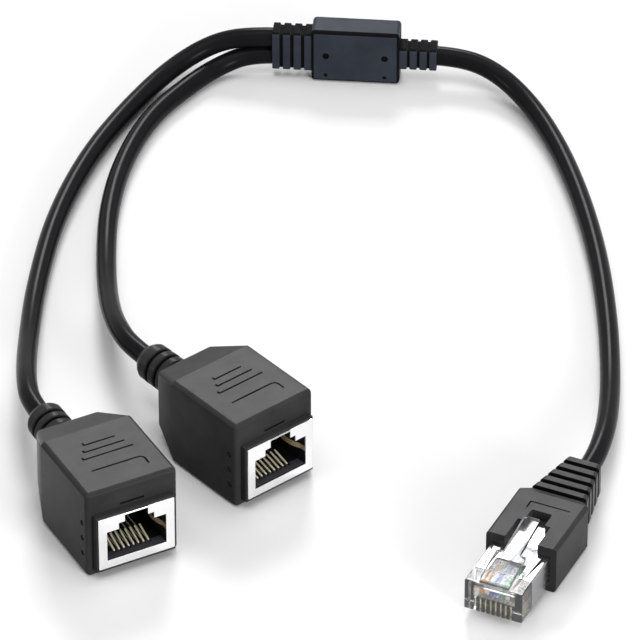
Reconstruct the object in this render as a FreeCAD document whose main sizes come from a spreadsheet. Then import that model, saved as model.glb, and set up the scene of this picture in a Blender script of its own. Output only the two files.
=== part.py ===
"""A network splitter lead: one shielded plug, a moulded junction and two female jacks.

The row frame has +Z up from the surface that the lead lies on, and its origin under the middle
of the junction. -Y points out of the right jack's port. Each connector is modelled about its own
middle, with its mating face towards -Y, and is then turned and set down where it lies.
"""
import FreeCAD, Part
import math
import os
import re
from FreeCAD import Placement, Rotation, Vector

# The driving dimensions, in millimetres and degrees. Places are in the row frame.
SIZES = {
    # How far joined shapes reach into each other
    "joint_overlap": 1.0,
    # Cables and the wires inside them
    "cable_diameter": 4.0,
    "cable_grip": 2.0,
    "cable_lead": 4.5,
    "wire_diameter": 0.8,
    "wire_spacing": 0.94,
    "wire_tail": 2.0,
    "wire_step": 2.5,
    "fan_reach": 3.5,
    # Pitch of the eight ways, the same in the plug and in the jacks
    "contact_pitch": 1.02,
    # Junction moulding
    "junction_angle": -45.0,
    "junction_length": 18.0,
    "junction_depth": 6.2,
    "junction_height": 12.0,
    "junction_rounding": 0.9,
    "relief_depth": 5.0,
    "relief_rib_depth": 0.4,
    "relief_rib_width": 1.45,
    "twin_relief_length": 8.0,
    "twin_relief_height": 8.9,
    "lower_branch_height": 4.1,
    "upper_branch_height": 8.2,
    "single_relief_length": 7.5,
    "single_relief_height": 5.0,
    "trunk_height": 5.6,
    "pin_mark_diameter": 1.2,
    "pin_mark_depth": 0.25,
    "pin_mark_offset": 6.0,
    "pin_mark_height": 6.2,
    "splice_diameter": 1.4,
    "splice_length": 5.0,
    "splice_lead": 1.0,
    "splice_pitch_y": 2.4,
    "splice_pitch_z": 2.1,
    # Jack housing
    "jack_width": 19.0,
    "jack_height": 19.0,
    "jack_length": 18.8,
    "jack_rounding": 0.9,
    "jack_taper_length": 8.3,
    "jack_rear_width": 13.0,
    "jack_rear_bottom": 3.0,
    "jack_rear_top": 15.5,
    "jack_relief_diameter": 7.8,
    "jack_relief_length": 11.0,
    "jack_relief_height": 9.4,
    "jack_relief_core": 6.6,
    "jack_relief_rib": 1.7,
    "jack_relief_nose": 2.0,
    "jack_nose_diameter": 5.2,
    "jack_neck_length": 1.5,
    "jack_neck_margin": 0.3,
    "jack_neck_drop": 0.7,
    "engraving_width": 0.35,
    "engraving_depth": 0.25,
    "grip_hook_length": 0.9,
    "dimple_back": 1.9,
    # Jack shield and port
    "port_face_width": 15.8,
    "port_face_height": 11.6,
    "port_face_bottom": 2.3,
    "shield_thickness": 0.3,
    "shield_inset": 0.3,
    "shield_depth": 14.0,
    "port_width": 12.3,
    "port_height": 6.55,
    "port_margin": 1.75,
    "port_step_width": 7.35,
    "port_step_height": 1.35,
    "port_notch_width": 4.8,
    "port_depth": 9.5,
    "bow_radius": 8.0,
    "bow_reach": 0.9,
    "bow_height": 1.1,
    "bow_lift": 2.8,
    "bow_foot": 1.7,
    # Jack contacts
    "spring_width": 0.45,
    "spring_thickness": 0.25,
    "spring_slot_width": 0.6,
    "spring_seat_depth": 0.65,
    "spring_front": 0.9,
    "spring_bend": 0.35,
    "spring_angle": 17.0,
    "spring_reach": 5.8,
    "spring_tail": 1.6,
    # Plug
    "plug_width": 11.7,
    "plug_height": 6.6,
    "plug_underside": 1.4,
    "plug_length": 21.5,
    "plug_nose_length": 4.5,
    "plug_sheet": 0.25,
    "plug_wire_height": 3.6,
    "plug_wire_front": 3.0,
    "blade_width": 0.35,
    "blade_clearance": 0.025,
    "blade_length": 5.8,
    "blade_recess": 0.35,
    "blade_rounding": 0.6,
    "tongue_width": 1.8,
    "tongue_length": 3.8,
    "tongue_rise": 0.5,
    "tongue_offset": 4.3,
    "tongue_back": 0.8,
    # Plug latch
    "latch_width": 5.9,
    "latch_thickness": 0.9,
    "latch_root_radius": 0.6,
    "latch_root_gap": 0.05,
    "latch_root_front": 1.3,
    "latch_shoulder": 7.2,
    "latch_length": 17.0,
    "latch_lever_width": 3.25,
    "latch_angle": 9.5,
    # Plug boot
    "boot_front": 12.8,
    "boot_width": 14.3,
    "boot_height": 10.0,
    "boot_length": 14.8,
    "boot_rounding": 0.8,
    "boot_shoulder_length": 1.8,
    "boot_neck_width": 11.6,
    "boot_neck_drop": 0.8,
    "boot_relief_length": 12.9,
    "boot_end_width": 6.9,
    "boot_end_height": 7.0,
    "boot_rib_depth": 0.55,
    "boot_groove_width": 1.15,
    "boot_window_width": 6.6,
    "boot_window_length": 6.0,
    "boot_slot_width": 4.2,
    "boot_slot_length": 9.6,
    # Where the connectors lie, and how far each is turned about +Z
    "right_x": -101.97,
    "right_y": -96.67,
    "right_angle": 0.0,
    "left_x": -136.86,
    "left_y": -97.29,
    "left_angle": -12.0,
    "plug_x": -96.99,
    "plug_y": -153.75,
    "plug_angle": -65.0,
}

WAYS = 8
# Each jack is wired on two pairs only: ways 1, 2, 3 and 6, counted here from 0.
JACK_WAYS = (0, 1, 2, 5)
# Engraved lines on a jack's top: how far back, the left end and the length. The corner line also
# has a leg that comes forward at its right end.
GRIP_LINES = [(14.1, -2.95, 6.6), (12.1, -3.9, 8.55), (10.1, -5.05, 10.65)]
CORNER_LINE = (6.3, -5.0, 10.4, 2.4)
# Small round marks on a jack's left side: their heights.
DIMPLE_HEIGHTS = (4.6, 8.1, 11.6)

# The engraved line on the boot's top: its left end, length, how far back and its leg's length.
BOOT_LINE = (-3.4, 8.2, 11.6, 1.8)

JACK_RIBS = 4
TWIN_RIBS = 4
SINGLE_RIBS = 4
BOOT_RIBS = 5

# The middle of each cable's route, chosen by hand: x, y, and the height of the cable's underside.
TRUNK_ROUTE = [(18.1, -22.1, 2.6), (17.8, -32.9, 0.8), (13.0, -47.1, 0.0), (4.6, -63.6, 0.0),
               (-6.6, -81.6, 0.0), (-19.1, -98.4, 0.0), (-30.7, -112.2, 0.2), (-40.3, -122.4, 1.6),
               (-47.4, -128.9, 2.8)]
LEFT_ROUTE = [(-20.8, 20.6, 4.2), (-30.5, 22.2, 1.4), (-44.8, 18.2, 0.0), (-61.6, 10.3, 0.0),
              (-80.5, -2.6, 0.0), (-97.6, -18.3, 0.0), (-109.4, -31.2, 1.4), (-117.8, -41.1, 4.2),
              (-124.3, -49.5, 6.7)]
RIGHT_ROUTE = [(-22.1, 17.8, 0.3), (-30.7, 16.6, 0.0), (-43.7, 12.9, 0.0), (-58.0, 4.0, 0.0),
               (-70.4, -7.1, 0.0), (-80.2, -18.5, 0.2), (-88.8, -29.6, 1.8), (-95.6, -39.5, 4.6),
               (-99.9, -47.5, 6.7)]

doc = FreeCAD.newDocument("SplitterLead")
sheet = doc.addObject("Spreadsheet::Sheet", "Sizes")
for row, (alias, value) in enumerate(SIZES.items(), 1):
    sheet.set(f"A{row}", alias)
    sheet.set(f"B{row}", str(value))
    sheet.setAlias(f"B{row}", alias)
doc.recompute()

nodes = []


def size(alias):
    """Reads one driving dimension from the sheet."""
    return float(sheet.get(alias))


def tie(feature, property_name, expression):
    """Binds a property to an expression whose words are aliases of the sheet."""
    feature.setExpression(property_name, re.sub(r"[a-z]\w+", r"Sizes.\g<0>", str(expression)))


def block(name, x, y, z):
    """Adds a box. x, y and z are each a start and a length, as expressions."""
    box = doc.addObject("Part::Box", name)
    for axis, side, (start, length) in zip("xyz", ("Length", "Width", "Height"), (x, y, z)):
        tie(box, f"Placement.Base.{axis}", start)
        tie(box, side, length)
    return box


def middle(width):
    """Gives the start and length of a span that is centred on zero."""
    return (f"-({width}) / 2", width)


def taper(name, y, near_x, near_z, far_x, far_z):
    """Adds a box that tapers along y. Each argument is a low and a high end, as expressions."""
    wedge = doc.addObject("Part::Wedge", name)
    spans = {"Y": y, "X": near_x, "Z": near_z, "X2": far_x, "Z2": far_z}
    for prefix, (low, high) in spans.items():
        tie(wedge, f"{prefix}min", low)
        tie(wedge, f"{prefix}max", high)
    return wedge


def rod(name, direction, radius, length, start):
    """Adds a cylinder from a start point, given as expressions, along a direction."""
    cylinder = doc.addObject("Part::Cylinder", name)
    cylinder.Placement.Rotation = Rotation(Vector(0, 0, 1), Vector(*direction))
    tie(cylinder, "Radius", radius)
    tie(cylinder, "Height", length)
    for axis, place in zip("xyz", start):
        tie(cylinder, f"Placement.Base.{axis}", place)
    return cylinder


def fuse(name, shapes):
    """Joins shapes into one solid."""
    union = doc.addObject("Part::MultiFuse", name)
    union.Shapes = shapes
    union.Refine = True
    return union


def cut(name, base, tools):
    """Takes one or more tools out of a base."""
    result = doc.addObject("Part::Cut", name)
    result.Base = base
    result.Tool = tools[0] if len(tools) == 1 else fuse(f"{name}_tools", tools)
    return result


def common(name, base, tool):
    """Keeps what a base and a tool share."""
    result = doc.addObject("Part::Common", name)
    result.Base = base
    result.Tool = tool
    return result


def round_edges(name, base, radius, chosen):
    """Rounds the edges of a base for which chosen(edge) holds."""
    doc.recompute()
    fillet = doc.addObject("Part::Fillet", name)
    fillet.Base = base
    edges = enumerate(base.Shape.Edges, 1)
    fillet.Edges = [(number, radius, radius) for number, edge in edges if chosen(edge)]
    return fillet


def edge_direction(edge):
    """Gives the unit vector between an edge's ends."""
    ends = edge.Vertexes
    return ends[-1].Point.sub(ends[0].Point).normalize()


def runs_back(edge):
    """Says whether an edge runs mostly along y."""
    return abs(edge_direction(edge).y) > 0.5


def lying(connector):
    """Gives the placement of a connector on the surface."""
    if connector == "junction":
        return Placement(Vector(0, 0, 0), Rotation(Vector(0, 0, 1), size("junction_angle")))
    place = Vector(size(f"{connector}_x"), size(f"{connector}_y"), 0)
    return Placement(place, Rotation(Vector(0, 0, 1), size(f"{connector}_angle")))


def keep(feature, label, connector):
    """Names a finished piece and sets it down with its connector."""
    feature.Label = label
    feature.Placement = lying(connector).multiply(feature.Placement)
    nodes.append(feature)
    return feature


def shape_feature(name, shape):
    """Adds a piece whose shape is made with Part's own functions."""
    feature = doc.addObject("Part::Feature", name)
    feature.Shape = shape
    return feature


def offset(index, count, pitch):
    """Gives the place of one item of a row that is centred on zero."""
    return (index - (count - 1) / 2) * pitch


def wire_shape(points):
    """Makes one round insulated wire through straight runs."""
    path = Part.Wire([Part.makeLine(a, b) for a, b in zip(points, points[1:])])
    circle = Part.Circle(points[0], points[1].sub(points[0]), size("wire_diameter") / 2)
    shell = Part.BRepOffsetAPI.MakePipeShell(path)
    shell.setTransitionMode(1)
    shell.add(Part.Wire(circle.toShape()))
    shell.build()
    shell.makeSolid()
    return Part.Solid(shell.shape())


def fanned_wires(ways, hand, row_height, core_height, places):
    """Makes wires that run back from some of a row's contacts into a cable's round core.

    places says how far back they start, leave the row, have stepped apart in height, two layers
    deep, have drawn together sideways, and end. hand is 1 where way 1 is at the low x end of the
    row, and -1 where it is at the high x end.
    """
    start, row_end, apart, together, end = places
    spacing = size("wire_spacing")
    shapes = []
    for index, way in enumerate(ways):
        row_x = hand * offset(way, WAYS, size("contact_pitch"))
        core_x = hand * offset(index // 2, len(ways) // 2, spacing)
        layer = offset(index % 2, 2, spacing)
        shapes.append(wire_shape([
            Vector(row_x, start, row_height),
            Vector(row_x, row_end, row_height),
            Vector(row_x, apart, row_height + layer),
            Vector(core_x, together, core_height + layer),
            Vector(core_x, end, core_height + layer),
        ]))
    return shapes


def arc_between(before, corner, after):
    """Gives the arc that rounds a corner of a route, as large as its two runs allow."""
    into = before.sub(corner)
    out = after.sub(corner)
    shorter = min(into.Length, out.Length)
    into.normalize()
    out.normalize()
    half_turn = (math.pi - into.getAngle(out)) / 2
    reach = 0.45 * shorter
    radius = reach / math.tan(half_turn)
    start = corner.add(into * reach)
    finish = corner.add(out * reach)
    bisector = into.add(out).normalize()
    inside = corner.add(bisector * (radius / math.cos(half_turn) - radius))
    return Part.Arc(start, inside, finish), start, finish, radius


def cable_shape(label, points):
    """Sweeps a round cable along straight runs that are joined by tangent arcs."""
    edges = []
    radii = []
    place = points[0]
    for before, corner, after in zip(points, points[1:], points[2:]):
        arc, start, finish, radius = arc_between(before, corner, after)
        edges.append(Part.LineSegment(place, start).toShape())
        edges.append(arc.toShape())
        radii.append(radius)
        place = finish
    edges.append(Part.LineSegment(place, points[-1]).toShape())
    path = Part.Wire(edges)
    radius = size("cable_diameter") / 2
    section = Part.Wire(Part.Circle(points[0], points[1].sub(points[0]), radius).toShape())
    solid = path.makePipeShell([section], True, False)
    ratio = solid.Volume / (math.pi * radius ** 2 * path.Length)
    print(f"{label}: length {path.Length:.1f}, volume over section times length {ratio:.5f}")
    print(f"{label}: bend radii {[round(bend, 1) for bend in radii]}")
    return solid


def relief_ribs(name, count, x, y, z):
    """Adds the ribs of a flat strain relief. x is its low and high end, y and z spans."""
    low, high = x
    ribs = []
    for rib in range(count):
        start = f"{low} + ({high} - ({low}) - relief_rib_width) * {rib} / {count - 1}"
        ribs.append(block(f"{name}_{rib + 1}", (start, "relief_rib_width"), y, z))
    return ribs


def grip_bores(name, heights, inner_end, outward):
    """Adds the bores that grip the cables at one end of the junction."""
    bores = []
    for number, height in enumerate(heights, 1):
        bores.append(rod(f"{name}_{number}", (outward, 0, 0), "cable_diameter / 2", "cable_grip",
                         (inner_end, "0", height)))
    return bores


def junction_wires():
    """Makes the wires between the cables' ends and the splices, drawn together inside the body."""
    spacing = size("wire_spacing")
    half_splice = size("splice_length") / 2
    lead = size("splice_lead")
    right_end = size("junction_length") / 2 + size("single_relief_length") - size("cable_grip")
    left_end = -size("junction_length") / 2 - size("twin_relief_length") + size("cable_grip")
    body_end = size("junction_length") / 2
    branch_heights = (size("lower_branch_height"), size("upper_branch_height"))
    shapes = []
    for layer in range(2):
        for level in range(WAYS // 2):
            splice_y = offset(layer, 2, size("splice_pitch_y"))
            splice_z = size("junction_height") / 2 + offset(level, WAYS // 2, size("splice_pitch_z"))
            core_y = offset(layer, 2, spacing)
            trunk_z = size("trunk_height") + offset(level, WAYS // 2, spacing)
            branch_z = branch_heights[level // 2] + offset(level % 2, 2, spacing)
            shapes.append(wire_shape([
                Vector(half_splice, splice_y, splice_z),
                Vector(half_splice + lead, splice_y, splice_z),
                Vector(body_end, core_y, trunk_z),
                Vector(right_end, core_y, trunk_z),
            ]))
            shapes.append(wire_shape([
                Vector(-half_splice, splice_y, splice_z),
                Vector(-half_splice - lead, splice_y, splice_z),
                Vector(-body_end, core_y, branch_z),
                Vector(left_end, core_y, branch_z),
            ]))
    return Part.makeCompound(shapes)


def splice_sleeves():
    """Adds the eight sleeves that cover the joints between trunk and branch wires."""
    sleeves = []
    for layer in range(2):
        for level in range(WAYS // 2):
            start = ("-splice_length / 2", f"{offset(layer, 2, 1)} * splice_pitch_y",
                     f"junction_height / 2 + {offset(level, WAYS // 2, 1)} * splice_pitch_z")
            name = f"splice_{len(sleeves) + 1}"
            sleeves.append(rod(name, (1, 0, 0), "splice_diameter / 2", "splice_length", start))
    group = doc.addObject("Part::Compound", "junction_splices")
    group.Links = sleeves
    return group, sleeves


def build_junction():
    """Builds the junction's moulding, its splices and the wires inside it."""
    body = block("junction_body", middle("junction_length"), middle("junction_depth"),
                 ("0", "junction_height"))
    rounded = round_edges("junction_rounded", body, size("junction_rounding"),
                          lambda edge: edge.BoundBox.ZMax > size("junction_rounding"))
    half = "junction_length / 2"
    core = middle("relief_depth - 2 * relief_rib_depth")
    twin_bottom = "(lower_branch_height + upper_branch_height - twin_relief_height) / 2"
    twin_end = f"-({half} + twin_relief_length)"
    twin_z = (twin_bottom, "twin_relief_height")
    twin_core = block("twin_relief_core", (twin_end, f"twin_relief_length + {half}"), core,
                      (f"{twin_bottom} + relief_rib_depth", "twin_relief_height - 2 * relief_rib_depth"))
    single_bottom = "trunk_height - single_relief_height / 2"
    single_z = (single_bottom, "single_relief_height")
    core_height = "single_relief_height - 2 * relief_rib_depth"
    single_core = block("single_relief_core", ("0", f"{half} + single_relief_length"), core,
                        (f"{single_bottom} + relief_rib_depth", core_height))
    ribs = relief_ribs("twin_rib", TWIN_RIBS, (twin_end, f"-{half}"), middle("relief_depth"), twin_z)
    ribs += relief_ribs("single_rib", SINGLE_RIBS, (half, f"{half} + single_relief_length"),
                        middle("relief_depth"), single_z)
    outer = fuse("junction_outer", [rounded, twin_core, single_core] + ribs)
    tools = grip_bores("branch_bore", ("lower_branch_height", "upper_branch_height"),
                       f"-({half} + twin_relief_length - cable_grip)", -1)
    tools += grip_bores("trunk_bore", ("trunk_height",), f"{half} + single_relief_length - cable_grip", 1)
    for number, side in enumerate((-1, 1), 1):
        tools.append(rod(f"pin_mark_{number}", (0, 1, 0), "pin_mark_diameter / 2", "pin_mark_depth",
                         (f"{side} * pin_mark_offset", "-junction_depth / 2", "pin_mark_height")))
    wires = junction_wires()
    splices, sleeves = splice_sleeves()
    tools += sleeves + [shape_feature("junction_wire_space", wires)]
    keep(cut("junction_housing", outer, tools), "junction_housing", "junction")
    keep(splices, "junction_splices", "junction")
    keep(shape_feature("junction_wires", wires), "junction_wires", "junction")


def engraved_lines(side):
    """Adds the tools for the lines that are engraved on a jack's top."""
    depth = ("jack_height - engraving_depth", "engraving_depth")
    width = "engraving_width"
    tools = []
    for number, (back, left, length) in enumerate(GRIP_LINES, 1):
        tools.append(block(f"{side}_grip_line_{number}", (left, length), (back, width), depth))
        tools.append(block(f"{side}_grip_hook_{number}", (left, width), (back, "grip_hook_length"), depth))
    back, left, length, leg = CORNER_LINE
    right = left + length
    tools.append(block(f"{side}_corner_line", (left, length), (back, width), depth))
    tools.append(block(f"{side}_corner_leg", (right, width), (back - leg, f"{leg} + {width}"), depth))
    return tools


def jack_housing(side, wires):
    """Builds a jack's overmoulded housing, with its ribbed strain relief."""
    half = "jack_width / 2"
    rear = "jack_length + jack_taper_length"
    main = block(f"{side}_main", middle("jack_width"), ("0", "jack_length"), ("0", "jack_height"))
    back = taper(f"{side}_taper", ("jack_length", rear), (f"-{half}", half), ("0", "jack_height"),
                 ("-jack_rear_width / 2", "jack_rear_width / 2"), ("jack_rear_bottom", "jack_rear_top"))
    main = round_edges(f"{side}_round_main", main, size("jack_rounding"),
                       lambda edge: runs_back(edge) or edge.BoundBox.YMax < size("jack_rounding"))
    back = round_edges(f"{side}_round_taper", back, size("jack_rounding"), runs_back)
    neck = block(f"{side}_neck", middle("port_face_width + 2 * jack_neck_margin"),
                 ("-jack_neck_length", "jack_neck_length + joint_overlap"),
                 ("port_face_bottom - jack_neck_drop",
                  "port_face_height + jack_neck_drop + jack_neck_margin"))
    axis = "jack_relief_height"
    ribbed = "jack_relief_length - jack_relief_nose"
    core = rod(f"{side}_relief_core", (0, 1, 0), "jack_relief_core / 2", f"{ribbed} + joint_overlap",
               ("0", f"{rear} - joint_overlap", axis))
    ribs = []
    for rib in range(JACK_RIBS):
        start = f"{rear} + ({ribbed} - jack_relief_rib) * {rib} / {JACK_RIBS - 1}"
        ribs.append(rod(f"{side}_relief_rib_{rib + 1}", (0, 1, 0), "jack_relief_diameter / 2",
                        "jack_relief_rib", ("0", start, axis)))
    nose = doc.addObject("Part::Cone", f"{side}_relief_nose")
    nose.Placement.Rotation = Rotation(Vector(0, 0, 1), Vector(0, 1, 0))
    tie(nose, "Radius1", "jack_relief_diameter / 2")
    tie(nose, "Radius2", "jack_nose_diameter / 2")
    tie(nose, "Height", "jack_relief_nose")
    tie(nose, "Placement.Base.y", f"{rear} + {ribbed}")
    tie(nose, "Placement.Base.z", axis)
    outer = fuse(f"{side}_outer", [main, back, neck, core, nose] + ribs)
    sleeve = "port_face_width - 2 * shield_inset"
    cavity = block(f"{side}_cavity", middle(sleeve),
                   ("-jack_neck_length", "jack_neck_length + shield_depth"),
                   ("port_face_bottom + shield_inset", "port_face_height - 2 * shield_inset"))
    grip = rod(f"{side}_cable_bore", (0, 1, 0), "cable_diameter / 2", "cable_grip",
               ("0", f"{rear} + jack_relief_length - cable_grip", axis))
    tools = [cavity, grip, shape_feature(f"{side}_wire_space", wires)]
    for way in range(WAYS):
        tools.append(block(f"{side}_tail_space_{way + 1}", (spring_start(way), "spring_width"),
                           ("shield_depth", "spring_tail"), (SPRING_SEAT, "spring_thickness")))
    for number, height in enumerate(DIMPLE_HEIGHTS, 1):
        tools.append(rod(f"{side}_dimple_{number}", (1, 0, 0), "pin_mark_diameter / 2", "pin_mark_depth",
                         (f"-{half}", "dimple_back", height)))
    return cut(f"jack_{side}_housing", outer, tools + engraved_lines(side))


PORT_BOTTOM = "port_face_bottom + port_margin"
SPRING_SEAT = f"{PORT_BOTTOM} - spring_seat_depth"


def spring_start(way):
    """Gives the low x side of one of the jack's contacts, as an expression.

    The jack faces the plug that enters it, so its ways count from high x to low x.
    """
    return f"contact_pitch * {(WAYS - 1) / 2 - way} - spring_width / 2"


def port_tools(name, depth, notch_top):
    """Adds the three boxes of a keyed port, from its mouth to a depth."""
    along = ("-jack_neck_length - shield_thickness", f"jack_neck_length + shield_thickness + {depth}")
    step_bottom = f"{PORT_BOTTOM} + port_height"
    notch_bottom = f"{step_bottom} + port_step_height"
    notch_height = f"{notch_top} - ({notch_bottom})"
    return [
        block(f"{name}_main", middle("port_width"), along, (PORT_BOTTOM, "port_height")),
        block(f"{name}_step", middle("port_step_width"), along, (step_bottom, "port_step_height")),
        block(f"{name}_notch", middle("port_notch_width"), along, (notch_bottom, notch_height)),
    ]


def jack_shield(side):
    """Builds a jack's folded shield: a sleeve, the face around the port and two ground bows."""
    sleeve_width = "port_face_width - 2 * shield_inset"
    sleeve_height = "port_face_height - 2 * shield_inset"
    sleeve_bottom = "port_face_bottom + shield_inset"
    sleeve_y = ("-jack_neck_length", "jack_neck_length + shield_depth")
    face = block(f"{side}_shield_face", middle("port_face_width"),
                 ("-jack_neck_length - shield_thickness", "shield_thickness"),
                 ("port_face_bottom", "port_face_height"))
    sleeve = block(f"{side}_sleeve", middle(sleeve_width), sleeve_y, (sleeve_bottom, sleeve_height))
    inside = block(f"{side}_sleeve_inside", middle(f"{sleeve_width} - 2 * shield_thickness"), sleeve_y,
                   (f"{sleeve_bottom} + shield_thickness", f"{sleeve_height} - 2 * shield_thickness"))
    port = port_tools(f"{side}_face_port", "0", "port_face_bottom + port_face_height")
    plate = cut(f"{side}_shield_body", fuse(f"{side}_shield_blank", [face, sleeve]), [inside] + port)
    bows = [ground_bow(side, number, sign) for number, sign in enumerate((-1, 1), 1)]
    return fuse(f"jack_{side}_shield", [plate] + bows)


def ground_bow(side, number, sign):
    """Builds one ground spring, folded back from the port's edge and arched into the port."""
    name = f"{side}_bow_{number}"
    place = (f"{sign} * (port_width / 2 - bow_reach + bow_radius)", "port_depth / 2 - jack_neck_length",
             f"{PORT_BOTTOM} + bow_lift")
    height = (place[2], "bow_height")
    outside = rod(f"{name}_outside", (0, 0, 1), "bow_radius", "bow_height", place)
    inside = rod(f"{name}_inside", (0, 0, 1), "bow_radius - shield_thickness", "bow_height", place)
    ring = cut(f"{name}_ring", outside, [inside])
    low = "port_width / 2 - bow_reach" if sign > 0 else "-port_width / 2 - shield_thickness"
    window = block(f"{name}_window", (low, "bow_reach + shield_thickness"),
                   ("-jack_neck_length", "port_depth"), height)
    foot = block(f"{name}_foot", side_seat(sign), ("-jack_neck_length", "bow_foot"), height)
    return fuse(name, [common(f"{name}_arch", ring, window), foot])


def side_seat(sign):
    """Gives the span across x of the thin seat beside the port that holds a ground spring."""
    return ("port_width / 2" if sign > 0 else "-port_width / 2 - shield_thickness", "shield_thickness")


def jack_insert(side):
    """Builds the carrier inside a jack, with its keyed port and the comb for the contacts."""
    width = "port_face_width - 2 * shield_inset - 2 * shield_thickness"
    height = "port_face_height - 2 * shield_inset - 2 * shield_thickness"
    bottom = "port_face_bottom + shield_inset + shield_thickness"
    blank = block(f"{side}_insert_blank", middle(width),
                  ("-jack_neck_length", "jack_neck_length + shield_depth"), (bottom, height))
    tools = port_tools(f"{side}_insert_port", "port_depth", f"{bottom} + {height}")
    comb_start = "spring_front - 2 * spring_bend"
    clearance = "(spring_slot_width - spring_width) / 2"
    for way in range(WAYS):
        x = (f"{spring_start(way)} - {clearance}", "spring_slot_width")
        tools.append(block(f"{side}_comb_{way + 1}", x, (comb_start, f"port_depth - ({comb_start})"),
                           (SPRING_SEAT, "spring_seat_depth")))
        tools.append(block(f"{side}_tail_slot_{way + 1}", (spring_start(way), "spring_width"),
                           ("port_depth", "shield_depth - port_depth"), (SPRING_SEAT, "spring_thickness")))
    for number, sign in enumerate((-1, 1), 1):
        tools.append(block(f"{side}_bow_seat_{number}", side_seat(sign), ("-jack_neck_length", "port_depth"),
                           (f"{PORT_BOTTOM} + bow_lift", "bow_height")))
    return cut(f"jack_{side}_insert", blank, tools)


def jack_contact(side, way):
    """Builds one sprung contact: a seated leg, a bend at the front and a leg that rises to the back."""
    name = f"{side}_contact_{way + 1}"
    x = (spring_start(way), "spring_width")
    leg = block(f"{name}_leg", x, ("spring_front", "shield_depth + spring_tail - spring_front"),
                (SPRING_SEAT, "spring_thickness"))
    bend = rod(f"{name}_bend", (1, 0, 0), "spring_bend", "spring_width",
               (spring_start(way), "spring_front", f"{SPRING_SEAT} + spring_bend"))
    rise = block(f"{name}_rise", x, ("spring_front", "spring_reach"), (SPRING_SEAT, "spring_thickness"))
    rise.Placement.Rotation = Rotation(Vector(1, 0, 0), size("spring_angle"))
    tie(rise, "Placement.Base.z", f"{SPRING_SEAT} + spring_bend")
    return fuse(f"jack_{side}_contact_{way + 1}", [leg, bend, rise])


def build_jack(side):
    """Builds one female jack with everything inside it."""
    seat = size("port_face_bottom") + size("port_margin") - size("spring_seat_depth")
    start = size("shield_depth") + size("spring_tail")
    row_end = start + size("wire_tail")
    together = size("jack_length") + size("jack_taper_length") + size("fan_reach")
    places = (start, row_end, row_end + size("wire_step"), together, jack_end_place() - size("cable_grip"))
    wires = fanned_wires(JACK_WAYS, -1, seat + size("spring_thickness") / 2, size("jack_relief_height"),
                         places)
    keep(jack_housing(side, Part.makeCompound(wires)), f"jack_{side}_housing", side)
    keep(jack_shield(side), f"jack_{side}_shield", side)
    keep(jack_insert(side), f"jack_{side}_insert", side)
    for way in range(WAYS):
        keep(jack_contact(side, way), f"jack_{side}_contact_{way + 1}", side)
    for way, wire in zip(JACK_WAYS, wires):
        label = f"jack_{side}_wire_{way + 1}"
        keep(shape_feature(label, wire), label, side)


def jack_end_place():
    """Gives how far behind a jack's front its strain relief ends."""
    return size("jack_length") + size("jack_taper_length") + size("jack_relief_length")


PLUG_TOP = "plug_underside + plug_height"
LATCH_AXIS = f"{PLUG_TOP} + latch_root_gap + latch_root_radius"
BLADE_TOP = "plug_underside + plug_wire_height - wire_diameter / 2 - blade_clearance"


def plug_body(wires):
    """Builds the clear plug body, with its blade slots, wire bores and the latch's cradle."""
    nose = block("plug_nose", middle("plug_width"), ("0", "plug_nose_length"),
                 ("plug_underside", "plug_height"))
    rear = block("plug_rear", middle("plug_width - 2 * plug_sheet"), ("0", "plug_length"),
                 ("plug_underside + plug_sheet", "plug_height - 2 * plug_sheet"))
    cradle = block("plug_cradle", middle("latch_width"), ("blade_recess", "latch_root_front - blade_recess"),
                   (PLUG_TOP, "latch_root_radius + latch_root_gap"))
    root_space = rod("latch_root_space", (1, 0, 0), "latch_root_radius + latch_root_gap", "latch_width",
                     ("-latch_width / 2", "latch_root_front", LATCH_AXIS))
    tools = [root_space, shape_feature("plug_wire_space", wires)]
    for way in range(WAYS):
        x = (f"{blade_start(way)} - blade_clearance", "blade_width + 2 * blade_clearance")
        tools.append(block(f"blade_slot_{way + 1}", x, ("0", "blade_recess + blade_length"),
                           ("plug_underside", f"{BLADE_TOP} - plug_underside")))
    return cut("plug_body", fuse("plug_blank", [nose, rear, cradle]), tools)


def blade_start(way):
    """Gives the low x side of one of the plug's blades, as an expression."""
    return f"contact_pitch * {way - (WAYS - 1) / 2} - blade_width / 2"


def plug_contact(way):
    """Builds one gold blade, rounded where the jack's contact slides over it."""
    bottom = "plug_underside + blade_recess"
    blank = block(f"blade_{way + 1}", (blade_start(way), "blade_width"), ("blade_recess", "blade_length"),
                  (bottom, f"{BLADE_TOP} - ({bottom})"))

    def is_front_corner(edge):
        across = abs(edge_direction(edge).x) > 0.5
        low = edge.BoundBox.ZMax < size("plug_underside") + 2 * size("blade_recess")
        return across and low and edge.BoundBox.YMax < 2 * size("blade_recess")

    return round_edges(f"plug_contact_{way + 1}", blank, size("blade_rounding"), is_front_corner)


def plug_latch():
    """Builds the latch lever on its round root. It slopes up to its free end over the boot."""
    root = rod("latch_root", (1, 0, 0), "latch_root_radius", "latch_width",
               ("-latch_width / 2", "latch_root_front", LATCH_AXIS))
    levers = []
    for name, width, length in (("latch_shoulders", "latch_width", "latch_shoulder"),
                                ("latch_lever", "latch_lever_width", "latch_length")):
        lever = block(name, middle(width), ("latch_root_front", length),
                      (f"{LATCH_AXIS} - latch_thickness / 2", "latch_thickness"))
        lever.Placement.Rotation = Rotation(Vector(1, 0, 0), size("latch_angle"))
        levers.append(lever)
    return fuse("plug_latch", [root] + levers)


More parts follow.
